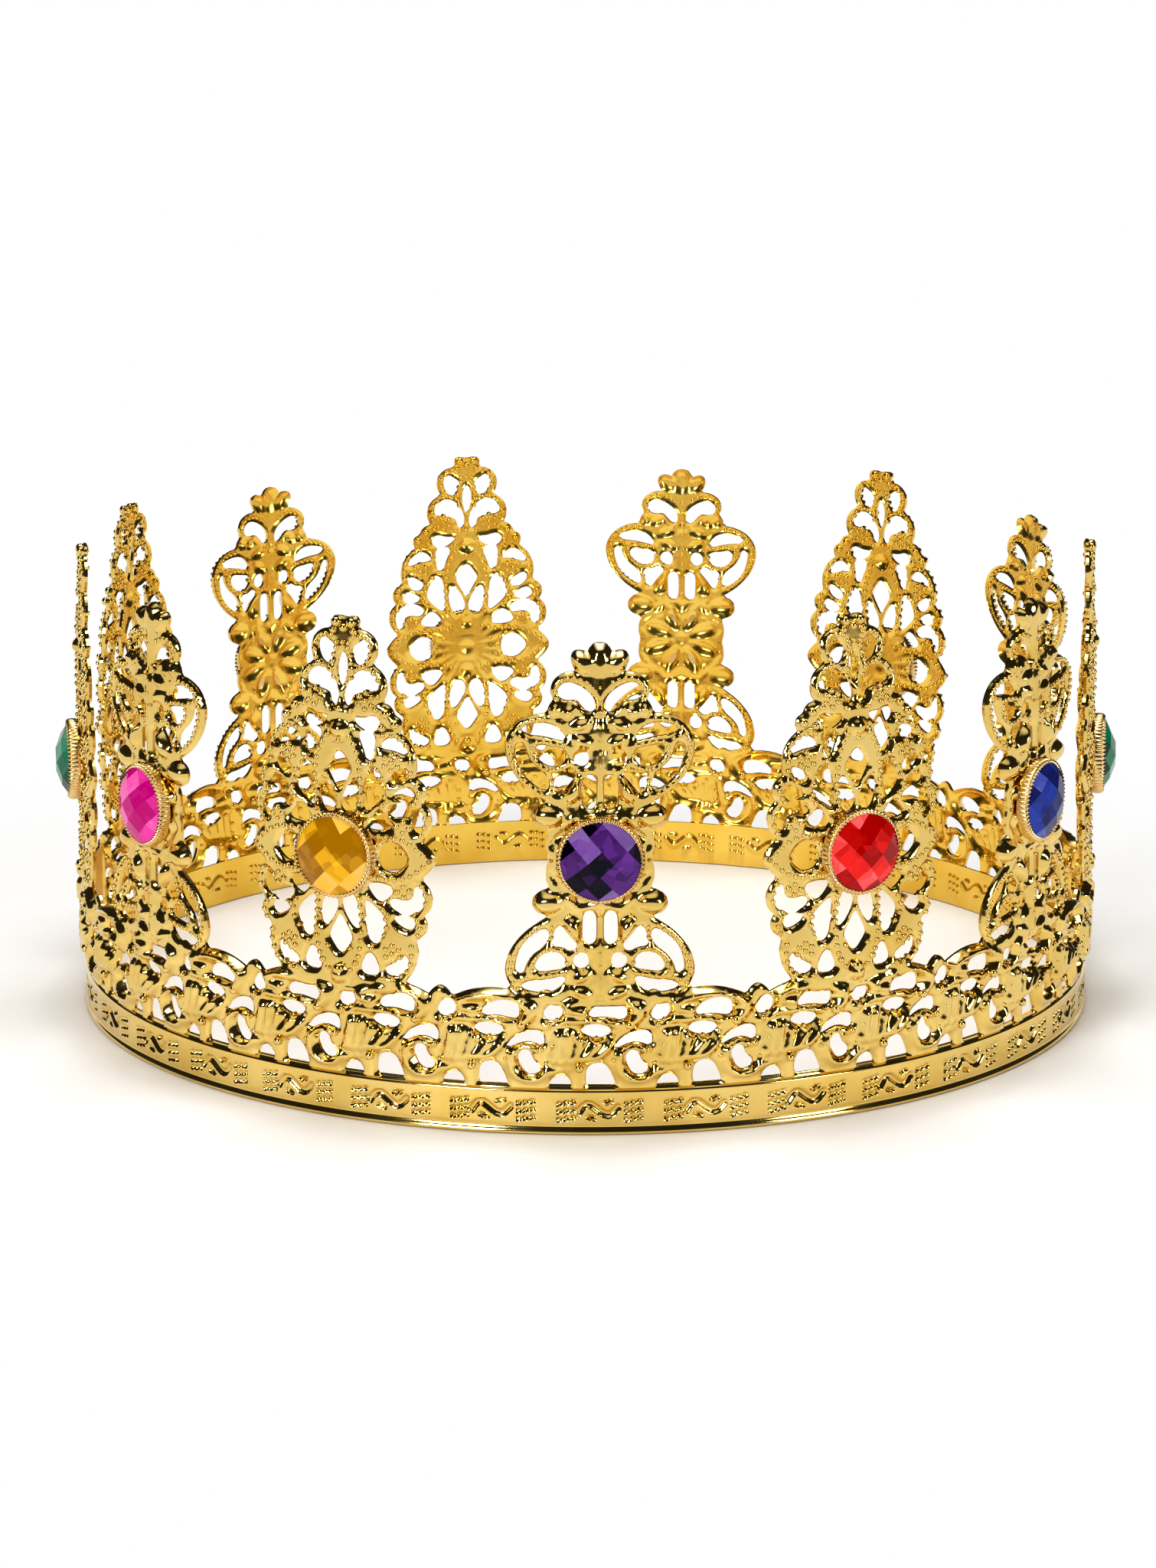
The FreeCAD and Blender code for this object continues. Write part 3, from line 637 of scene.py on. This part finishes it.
def sheet_piece(index):
    """The stretch of the strip that carries one point, with its beads."""
    low = index * COLUMNS_PER_POINT - COLUMNS_PER_POINT // 2

    def mine(columns):
        return (columns - low) % COLUMNS < COLUMNS_PER_POINT

    own_quads = quads[mine(quad_column)]
    own_triangles = triangles[mine(triangle_column)]
    own_rim = rim[mine(rim_column)]
    used = np.unique(np.concatenate([own_quads.reshape(-1), own_triangles.reshape(-1)]))
    place_of = np.zeros(NODES, int)
    place_of[used] = np.arange(len(used))
    size = len(used)
    places = [outside[used], within[used]]
    normals = [outside_normals[used], within_normals[used]]
    faces = place_of[own_quads].tolist() + place_of[own_triangles].tolist()
    inner_faces = [0] * len(faces)
    faces += (place_of[own_quads][:, ::-1] + size).tolist()
    faces += (place_of[own_triangles][:, ::-1] + size).tolist()
    inner_faces += [1] * (len(faces) - len(inner_faces))
    # the cut edge of the sheet
    wall_start = 2 * size
    a, b = own_rim[:, 0], own_rim[:, 1]
    wall = np.stack([outside[a], outside[b], within[b], within[a]], 1)
    across = np.cross(wall[:, 3] - wall[:, 0], wall[:, 1] - wall[:, 0])
    across /= np.maximum(np.linalg.norm(across, axis=1, keepdims=True), 1e-9)
    places.append(wall.reshape(-1, 3))
    normals.append(np.repeat(across, 4, 0))
    corners = wall_start + np.arange(len(own_rim) * 4).reshape(-1, 4)
    faces += corners[:, ::-1].tolist()
    inner_faces += [0] * len(corners)
    start = wall_start + len(own_rim) * 4
    for x, z, radius in beads:
        if not mine(int(math.floor(x / STEP + 1e-6))):
            continue
        if metal_at(x, z) < 0.1:
            continue
        for side in (1, -1):
            ball, ball_normals = ball_places(x, z, radius, side)
            places.append(ball)
            normals.append(ball_normals)
            faces += [tuple(start + k for k in face) for face in BALL_FACES]
            inner_faces += [0 if side > 0 else 1] * len(BALL_FACES)
            start += len(BALL)
    name = "sheet_%02d" % (index + 1)
    return make_mesh(name, np.concatenate(places), faces, np.concatenate(normals), inner_faces)


# The border: a plain band with a turned lip below and a pressed pattern on it

BORDER_CELLS = 64
BORDER_COLUMNS = int(BORDER_CELLS * 2.5 * POINT_COUNT)
BORDER_STEP = 2 * math.pi * SHEET_RADIUS / BORDER_COLUMNS
BORDER_PROFILE = [
    (0.0, 0.25), (0.06, 0.6), (0.2, 0.72), (0.5, 0.7), (0.8, 0.5), (1.15, 0.28), (1.5, 0.24), (1.75, 0.34),
]
BORDER_TOP = [(7.35, 0.36), (7.6, 0.3), (7.75, 0.1), (8.0, -0.1), (8.35, -0.12), (8.6, -0.2)]
BORDER_BAND = 0.36
PRESSED_STROKES = [
    ([(-3.7, 3.9), (-2.8, 5.2), (-1.7, 5.5), (-0.6, 4.7), (0.6, 3.7), (1.8, 3.4), (3.0, 4.8)], 0.6),
    ([(0.9, 5.6), (2.0, 5.9)], 0.36), ([(-2.0, 3.1), (-0.9, 2.8)], 0.36),
]
DOT_ROWS = (2.8, 4.2, 5.6)
PRESSED_DOTS = [(side * (4.5 + 1.2 * k), z + 0.2 * side * (k - 1), 0.46)
                for side in (-1, 1) for k in range(3) for z in DOT_ROWS]
PRESS_DEPTH = 0.6
PRESS_ON_INSIDE = 0.6


def border_press(x, z):
    pressed = np.zeros(x.shape)
    for line, width in PRESSED_STROKES:
        pressed = np.maximum(pressed, ridge(x, z, line, width, PRESS_DEPTH))
    for cx, cz, radius in PRESSED_DOTS:
        away = np.hypot(x - cx, z - cz) / radius
        pressed = np.maximum(pressed, PRESS_DEPTH * np.sqrt(np.clip(1 - away ** 2, 0, 1)))
    return pressed


def seam_at(x):
    """The plain half pitch where the ends of the strip are joined."""
    return (x / PITCH > FIRST_MOTIF + MOTIF_COUNT - 0.5) & (x / PITCH < FIRST_MOTIF + MOTIF_COUNT)


def border_pattern(x, z):
    """The pressed blocks, one to each repeat, half a pitch on behind the seam."""
    middle = (x + PITCH / 2) % PITCH - PITCH / 2
    shifted = x % PITCH - PITCH / 2
    middle = np.where(x / PITCH >= FIRST_MOTIF + MOTIF_COUNT, shifted, middle)
    return np.maximum(border_press(middle, z), border_press(middle - PITCH, z))


def border_piece(part, parts):
    """One stretch of the border, outside and inside in a single closed skin."""
    band = [(z, BORDER_BAND) for z in np.arange(2.0, 7.2, 0.24)]
    profile = BORDER_PROFILE + band + BORDER_TOP
    z_line = np.array([z for z, _ in profile])
    rise = np.array([r for _, r in profile])
    first_column = part * BORDER_COLUMNS // parts
    last_column = (part + 1) * BORDER_COLUMNS // parts
    columns = np.arange(first_column, last_column + 1)
    x, z = np.meshgrid(columns * BORDER_STEP, z_line, indexing="ij")
    press = np.where(seam_at(x), 0, border_pattern(x, z))
    radius = SHEET_RADIUS + rise[None, :] - press
    outer = on_ring(x, z, radius)
    inner_z = np.concatenate([[8.6], np.arange(7.0, 2.0, -0.36), [0.0]])
    inner_x, inner_zz = np.meshgrid(columns * BORDER_STEP, inner_z, indexing="ij")
    hollow = np.where(seam_at(inner_x), 0, border_pattern(inner_x, inner_zz))
    inner = on_ring(inner_x, inner_zz, BORE_RADIUS + BORE_CLEARANCE - PRESS_ON_INSIDE * hollow)
    skin = np.concatenate([outer, inner], 1)
    rows = skin.shape[1]
    number = np.arange(skin.shape[0] * rows).reshape(-1, rows)
    after_row = np.roll(number, -1, 1)
    quads = np.stack([number[:-1], number[1:], after_row[1:], after_row[:-1]], -1).reshape(-1, 4)
    mesh = bpy.data.meshes.new("border")
    mesh.from_pydata((skin.reshape(-1, 3) * MM).tolist(), [], quads.tolist())
    mesh.polygons.foreach_set("use_smooth", [True] * len(mesh.polygons))
    mesh.set_sharp_from_angle(angle=math.radians(50))
    inner_rows = (np.arange(rows) >= len(profile)) & (np.arange(rows) < rows - 1)
    mesh.polygons.foreach_set("material_index", np.tile(inner_rows.astype(int), len(quads) // rows))
    obj = bpy.data.objects.new("border_%02d" % (part + 1), mesh)
    bpy.context.scene.collection.objects.link(obj)
    return obj


# Gems and their toothed cups

PALM_GEM_HEIGHT = 48.4
LOZENGE_GEM_HEIGHT = 46.9
CUP_BACK = 95.2
GEM_BACK = CUP_BACK + 0.4
GEM_RADIUS = 7.0
GIRDLE = 1.5
CROWN = 2.55
FACET = 3.1
GEM_SIDES = 72
FACET_TURN = math.radians(42)
CUP_TEETH = 60
CUP_CELLS = 6
GEM_COLOURS = (
    "purple", "red", "blue", "green", "pink", "amber",
    "purple", "red", "blue", "red", "green", "pink", "amber")


def gem_mesh():
    """A flat-backed stone whose crown is cut in squares, each tangent to a shallow dome."""
    shape = bmesh.new()
    bmesh.ops.create_cone(shape, cap_ends=True, segments=GEM_SIDES, radius1=GEM_RADIUS, radius2=GEM_RADIUS,
                          depth=GIRDLE + CROWN, matrix=Matrix.Translation((0, 0, (GIRDLE + CROWN) / 2)))
    curve = CROWN / GEM_RADIUS ** 2
    reach = range(-3, 4)
    for i in reach:
        for j in reach:
            px = FACET * (i * math.cos(FACET_TURN) - j * math.sin(FACET_TURN))
            py = FACET * (i * math.sin(FACET_TURN) + j * math.cos(FACET_TURN))
            away = math.hypot(px, py)
            if away > GEM_RADIUS + 1.2:
                continue
            height = GIRDLE + CROWN - curve * away ** 2
            normal = Vector((2 * curve * px, 2 * curve * py, 1)).normalized()
            cut = bmesh.ops.bisect_plane(
                shape, geom=shape.verts[:] + shape.edges[:] + shape.faces[:], dist=1e-5,
                plane_co=(px, py, height), plane_no=normal, clear_outer=True)
            rim = [e for e in cut["geom_cut"] if isinstance(e, bmesh.types.BMEdge)]
            if rim:
                bmesh.ops.edgeloop_fill(shape, edges=rim)
    bmesh.ops.scale(shape, vec=(MM, MM, MM), verts=shape.verts)
    mesh = bpy.data.meshes.new("gem")
    shape.to_mesh(mesh)
    shape.free()
    return mesh


# Painted light and shade for the stones: random tones for the crown facets stand in for reflections inside a cut
# stone, and one darker painted tone goes on the back
PAINTED_CROWN_REFLECTIONS = (0.0, 0.0, 0.15, 0.4, 0.6, 0.95)
PAINTED_BACK_SHADE = 0.2


def paint_facet_reflections(mesh, seed):
    """Painted reflections: a light or dark tone for each facet of the crown, painted in for the light that the cut
    back of a stone throws. The back and girdle get one darker tone of painted shade.
    """
    picks = np.random.default_rng(seed)
    # the face attribute tone holds each facet's painted reflection
    painted_reflection_layer = mesh.attributes.new("tone", "FLOAT", "FACE")
    values = []
    for face in mesh.polygons:
        crown = face.normal.z > 0.3
        values.append(float(picks.choice(PAINTED_CROWN_REFLECTIONS)) if crown else PAINTED_BACK_SHADE)
    painted_reflection_layer.data.foreach_set("value", values)


def cup_mesh():
    """A thin cup with a row of fine teeth closed over the rim of the stone."""
    sides = CUP_TEETH * CUP_CELLS
    turns = np.arange(sides) * 2 * math.pi / sides
    tooth = 0.5 + 0.5 * np.cos(turns * CUP_TEETH)
    flat = np.ones(sides)
    # radius and height of each level, from the middle of the back round the wall to the tip of the teeth
    levels = [
        (0.02 * flat, 0.0 * flat),
        (7.1 * flat, 0.0 * flat),
        (7.42 * flat, 0.12 * flat),
        (7.5 * flat, 0.5 * flat),
        (7.36 + 0.16 * tooth, 1.0 * flat),
        (7.28 + 0.24 * tooth, 1.7 * flat),
        (7.14 + 0.22 * tooth, 2.05 + 0.12 * tooth),
        (6.94 + 0.08 * tooth, 2.12 + 0.34 * tooth),
        (6.72 + 0.05 * (1 - tooth), 2.1 + 0.3 * tooth),
        (6.7 * flat, 1.9 * flat),
    ]
    skin = np.stack([
        np.stack([r * np.cos(turns), r * np.sin(turns), h], -1) for r, h in levels], 0)
    rows = len(levels)
    number = np.arange(rows * sides).reshape(rows, sides)
    after = np.roll(number, -1, 1)
    quads = np.stack([number[:-1], after[:-1], after[1:], number[1:]], -1).reshape(-1, 4)
    mesh = bpy.data.meshes.new("cup")
    mesh.from_pydata((skin.reshape(-1, 3) * MM).tolist(), [], quads.tolist())
    mesh.polygons.foreach_set("use_smooth", [True] * len(mesh.polygons))
    mesh.set_sharp_from_angle(angle=math.radians(60))
    return mesh


def set_in_place(mesh, name, index, radius):
    """The mesh moved to its point, looking out along the radius."""
    angle = FRONT + index * COLUMNS_PER_POINT * STEP / SHEET_RADIUS
    height = PALM_GEM_HEIGHT if is_palm(index) else LOZENGE_GEM_HEIGHT
    away = Vector((math.cos(angle), math.sin(angle), 0))
    across = Vector((-math.sin(angle), math.cos(angle), 0))
    turn = Matrix((across, Vector((0, 0, 1)), away)).transposed().to_4x4()
    mesh.transform(Matrix.Translation(away * radius * MM + Vector((0, 0, height * MM))) @ turn)
    obj = bpy.data.objects.new(name, mesh)
    bpy.context.scene.collection.objects.link(obj)
    return obj


# Materials

def new_material(name):
    material = bpy.data.materials.new(name)
    material.use_nodes = True
    nodes = material.node_tree.nodes
    shader = nodes["Principled BSDF"]
    return material, nodes, material.node_tree.links, shader


def new_group(name, inputs, outputs):
    """An empty node group. Inputs and outputs are pairs of a name and a kind of socket."""
    group = bpy.data.node_groups.new(name, "ShaderNodeTree")
    for socket, kind in inputs:
        group.interface.new_socket(socket, in_out="INPUT", socket_type=kind)
    for socket, kind in outputs:
        group.interface.new_socket(socket, in_out="OUTPUT", socket_type=kind)
    return group, group.nodes.new("NodeGroupInput"), group.nodes.new("NodeGroupOutput")


def add_noise(group, place, scale, detail):
    noise = group.nodes.new("ShaderNodeTexNoise")
    noise.inputs["Scale"].default_value = scale
    noise.inputs["Detail"].default_value = detail
    group.links.new(place.outputs["Object"], noise.inputs["Vector"])
    return noise


def add_range(group, value, low, high):
    """The share of the way that a value lies between low and high."""
    spread = group.nodes.new("ShaderNodeMapRange")
    spread.inputs["From Min"].default_value = low
    spread.inputs["From Max"].default_value = high
    group.links.new(value, spread.inputs["Value"])
    return spread.outputs["Result"]


def add_mix(group, share, first, second):
    mix = group.nodes.new("ShaderNodeMix")
    mix.data_type = "RGBA"
    group.links.new(share, mix.inputs["Factor"])
    group.links.new(first, mix.inputs["A"])
    group.links.new(second, mix.inputs["B"])
    return mix.outputs["Result"]


def plating_group():
    """Thin plating: a cloudy change of tone, and a fine grain for the polish."""
    group, given, wanted = new_group(
        "plating",
        [("Colour", "NodeSocketColor"), ("Deep", "NodeSocketColor"), ("Roughness", "NodeSocketFloat")],
        [("Colour", "NodeSocketColor"), ("Roughness", "NodeSocketFloat"), ("Grain", "NodeSocketFloat")])
    place = group.nodes.new("ShaderNodeTexCoord")
    cloud = add_noise(group, place, scale=90.0, detail=4.0)
    share = add_range(group, cloud.outputs["Fac"], 0.35, 0.6)
    tint = add_mix(group, share, given.outputs["Deep"], given.outputs["Colour"])
    group.links.new(tint, wanted.inputs["Colour"])
    grain = add_noise(group, place, scale=260.0, detail=3.0)
    group.links.new(grain.outputs["Fac"], wanted.inputs["Grain"])
    worn = group.nodes.new("ShaderNodeMapRange")
    worn.inputs["To Min"].default_value = 0.75
    worn.inputs["To Max"].default_value = 1.35
    group.links.new(grain.outputs["Fac"], worn.inputs["Value"])
    polish = group.nodes.new("ShaderNodeMath")
    polish.operation = "MULTIPLY"
    group.links.new(worn.outputs["Result"], polish.inputs[0])
    group.links.new(given.outputs["Roughness"], polish.inputs[1])
    group.links.new(polish.outputs["Value"], wanted.inputs["Roughness"])
    return group


def painted_facet_light_group():
    """Painted light and shade for each facet from its painted reflection tone, broken up by cells that stand for
    the smaller facets of the back. The brightest facets turn to a painted glint.
    """
    group, given, wanted = new_group(
        "painted_facet_light",
        [("Dark", "NodeSocketColor"), ("Bright", "NodeSocketColor"), ("Painted Glint", "NodeSocketColor")],
        [("Colour", "NodeSocketColor")])
    place = group.nodes.new("ShaderNodeTexCoord")
    cells = group.nodes.new("ShaderNodeTexVoronoi")
    cells.inputs["Scale"].default_value = 520.0
    group.links.new(place.outputs["Object"], cells.inputs["Vector"])
    split = group.nodes.new("ShaderNodeSeparateColor")
    group.links.new(cells.outputs["Color"], split.inputs["Color"])
    # the tone attribute is each facet's painted reflection
    tone = group.nodes.new("ShaderNodeAttribute")
    tone.attribute_name = "tone"
    blend = group.nodes.new("ShaderNodeMath")
    blend.operation = "MULTIPLY_ADD"
    group.links.new(split.outputs["Red"], blend.inputs[0])
    blend.inputs[1].default_value = 0.3
    group.links.new(tone.outputs["Fac"], blend.inputs[2])
    # dark to bright runs from painted shade to painted light, and above that to a pale painted glint
    lit = add_range(group, blend.outputs["Value"], 0.2, 0.88)
    painted_glint = add_range(group, blend.outputs["Value"], 0.88, 1.3)
    body = add_mix(group, lit, given.outputs["Dark"], given.outputs["Bright"])
    group.links.new(add_mix(group, painted_glint, body, given.outputs["Painted Glint"]), wanted.inputs["Colour"])
    return group


PLATING = plating_group()
PAINTED_FACET_LIGHT = painted_facet_light_group()


def gold(name, colour, deep, roughness):
    """Plated sheet metal: a deeper tone in random clouds, with a fine grain in its roughness and bump."""
    material, nodes, links, shader = new_material(name)
    shader.inputs["Metallic"].default_value = 1.0
    plating = nodes.new("ShaderNodeGroup")
    plating.node_tree = PLATING
    plating.inputs["Colour"].default_value = (*colour, 1)
    plating.inputs["Deep"].default_value = (*deep, 1)
    plating.inputs["Roughness"].default_value = roughness
    links.new(plating.outputs["Colour"], shader.inputs["Base Color"])
    links.new(plating.outputs["Roughness"], shader.inputs["Roughness"])
    bump = nodes.new("ShaderNodeBump")
    bump.inputs["Strength"].default_value = 0.12
    bump.inputs["Distance"].default_value = 0.00012
    links.new(plating.outputs["Grain"], bump.inputs["Height"])
    links.new(bump.outputs["Normal"], shader.inputs["Normal"])
    return material


def stone(name, bright, dark):
    """Cut glass in one colour, with painted reflections: dark facets of painted shade, bright facets of painted
    light and pale facets of painted glint.
    """
    material, nodes, links, shader = new_material(name)
    facets = nodes.new("ShaderNodeGroup")
    facets.node_tree = PAINTED_FACET_LIGHT
    facets.inputs["Dark"].default_value = (*dark, 1)
    facets.inputs["Bright"].default_value = (*bright, 1)
    # the glint colour is the bright colour lifted towards white, a painted highlight
    facets.inputs["Painted Glint"].default_value = (*[0.8 * channel + 0.13 for channel in bright], 1)
    links.new(facets.outputs["Colour"], shader.inputs["Base Color"])
    shader.inputs["Roughness"].default_value = 0.04
    shader.inputs["IOR"].default_value = 1.45
    shader.inputs["Specular IOR Level"].default_value = 0.12
    return material


GOLD_SHEET = gold("gold_sheet", (0.80, 0.57, 0.17), (0.72, 0.48, 0.11), 0.09)
# The inner faces of the sheet get a more saturated, orange gold than the outer faces: painted bounce light between
# gold surfaces. They also get a higher roughness.
GOLD_INSIDE_PAINTED_BOUNCE = gold("gold_inside_painted_bounce", (0.86, 0.58, 0.10), (0.80, 0.49, 0.06), 0.2)
GOLD_CUP = gold("gold_cup", (0.80, 0.56, 0.24), (0.62, 0.38, 0.12), 0.2)
# each stone: its colour as painted light on bright facets, then a near-black copy as painted shade on dark facets
STONES = {
    "purple": stone("stone_purple", (0.14, 0.03, 0.30), (0.001, 0.0, 0.004)),
    "red": stone("stone_red", (1.0, 0.015, 0.012), (0.36, 0.0, 0.0)),
    "blue": stone("stone_blue", (0.025, 0.05, 0.38), (0.006, 0.01, 0.10)),
    "green": stone("stone_green", (0.0, 0.22, 0.09), (0.0, 0.03, 0.012)),
    "pink": stone("stone_pink", (0.98, 0.05, 0.42), (0.50, 0.0, 0.16)),
    "amber": stone("stone_amber", (1.0, 0.50, 0.01), (0.34, 0.13, 0.0)),
}


def finish_piece(obj, node, slot, *materials):
    for material in materials:
        obj.data.materials.append(material)
    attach(obj, "root")
    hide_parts(node)


for index in range(POINT_COUNT):
    finish_piece(sheet_piece(index), "crown_body", "gold_sheet", GOLD_SHEET, GOLD_INSIDE_PAINTED_BOUNCE)
BORDER_PARTS = 3
for part in range(BORDER_PARTS):
    finish_piece(border_piece(part, BORDER_PARTS), "crown_body", "gold_sheet", GOLD_SHEET, GOLD_INSIDE_PAINTED_BOUNCE)
cup_shape = cup_mesh()
for index in range(POINT_COUNT):
    cup = set_in_place(cup_shape.copy(), "cup_%02d" % (index + 1), index, CUP_BACK)
    finish_piece(cup, "gem_cup_%02d" % (index + 1), "gold_cup", GOLD_CUP)
    colour = GEM_COLOURS[index]
    cut_stone = gem_mesh()
    paint_facet_reflections(cut_stone, index)
    gem = set_in_place(cut_stone, "stone_%02d" % (index + 1), index, GEM_BACK)
    finish_piece(gem, "gem_%02d" % (index + 1), "gem_" + colour, STONES[colour])

# Floor, surroundings and lights

floor_mesh = bpy.data.meshes.new("floor")
floor_mesh.from_pydata([(-9, -9, 0), (9, -9, 0), (9, 9, 0), (-9, 9, 0)], [], [(0, 1, 2, 3)])
floor = bpy.data.objects.new("floor", floor_mesh)
bpy.context.scene.collection.objects.link(floor)
floor.location.z = -0.0002
floor_material, _, _, floor_shader = new_material("floor")
floor_shader.inputs["Base Color"].default_value = (0.96, 0.96, 0.96, 1)
floor_shader.inputs["Roughness"].default_value = 0.6
floor_nodes = floor_material.node_tree.nodes
floor_links = floor_material.node_tree.links
# away from the crown the floor runs into a plain white sweep
spot = floor_nodes.new("ShaderNodeTexCoord")
reach = floor_nodes.new("ShaderNodeVectorMath")
reach.operation = "LENGTH"
floor_links.new(spot.outputs["Object"], reach.inputs[0])
sweep = floor_nodes.new("ShaderNodeMapRange")
sweep.interpolation_type = "SMOOTHSTEP"
sweep.inputs["From Min"].default_value = 0.105
sweep.inputs["From Max"].default_value = 0.22
floor_links.new(reach.outputs["Value"], sweep.inputs["Value"])
glow = floor_nodes.new("ShaderNodeEmission")
glow.inputs["Strength"].default_value = 1.0
blend = floor_nodes.new("ShaderNodeMixShader")
floor_links.new(sweep.outputs["Result"], blend.inputs["Fac"])
floor_links.new(floor_shader.outputs["BSDF"], blend.inputs[1])
floor_links.new(glow.outputs["Emission"], blend.inputs[2])
floor_links.new(blend.outputs["Shader"], floor_nodes["Material Output"].inputs["Surface"])
floor_mesh.materials.append(floor_material)

world = bpy.data.worlds.new("studio")
bpy.context.scene.world = world
world.use_nodes = True
nodes = world.node_tree.nodes
links = world.node_tree.links
nodes.clear()
direction = nodes.new("ShaderNodeTexCoord")
parts = nodes.new("ShaderNodeSeparateXYZ")
links.new(direction.outputs["Generated"], parts.inputs["Vector"])
tent = nodes.new("ShaderNodeValToRGB")
links.new(parts.outputs["Z"], tent.inputs["Fac"])
ramp = tent.color_ramp
# white to a little above the horizon, a dark ceiling, and a white panel overhead
ramp.elements[0].position = 0.0
ramp.elements[0].color = (1, 1, 1, 1)
ramp.elements[1].position = 1.0
ramp.elements[1].color = (1, 1, 1, 1)
for position, level in ((0.014, 1.0), (0.075, 0.03), (0.80, 0.015), (0.90, 1.0)):
    element = ramp.elements.new(position)
    element.color = (level, level * 0.96, level * 0.9, 1)
backdrop = nodes.new("ShaderNodeBackground")
links.new(tent.outputs["Color"], backdrop.inputs["Color"])
output = nodes.new("ShaderNodeOutputWorld")
links.new(backdrop.outputs["Background"], output.inputs["Surface"])


def panel(name, place, target, width, height, watts):
    light = bpy.data.lights.new(name, "AREA")
    light.shape = "RECTANGLE"
    light.size = width
    light.size_y = height
    light.energy = watts
    obj = bpy.data.objects.new(name, light)
    bpy.context.scene.collection.objects.link(obj)
    obj.location = place
    obj.rotation_euler = (Vector(target) - Vector(place)).to_track_quat("-Z", "Y").to_euler()


panel("key", (-0.5, -0.9, 0.5), (0, 0, 0.04), 0.3, 0.3, 6)
panel("fill", (0.8, -0.7, 0.4), (0, 0, 0.04), 0.3, 0.4, 3)
panel("top", (0, 0.1, 1.1), (0, 0, 0.04), 0.6, 0.6, 8)

# The camera, fitted to the foot of the border in the photograph

LENS = 97.37
SENSOR_WIDTH = 36.0
STAND = Vector((0, -0.7835, 0.2242))
PITCH_DOWN = math.radians(13.318)
YAW = math.radians(0.104)
PHOTO_TURN = math.radians(-1.5)
camera_data = bpy.data.cameras.new("camera")
camera_data.lens = LENS
camera_data.sensor_width = SENSOR_WIDTH
camera = bpy.data.objects.new("camera", camera_data)
bpy.context.scene.collection.objects.link(camera)
turn = Matrix.Rotation(PHOTO_TURN, 4, "Z")
look = Matrix.Rotation(YAW, 4, "Z") @ Matrix.Rotation(math.pi / 2 - PITCH_DOWN, 4, "X")
camera.matrix_world = turn @ Matrix.Translation(STAND) @ look
bpy.context.scene.camera = camera
bpy.context.scene.view_settings.view_transform = "Standard"
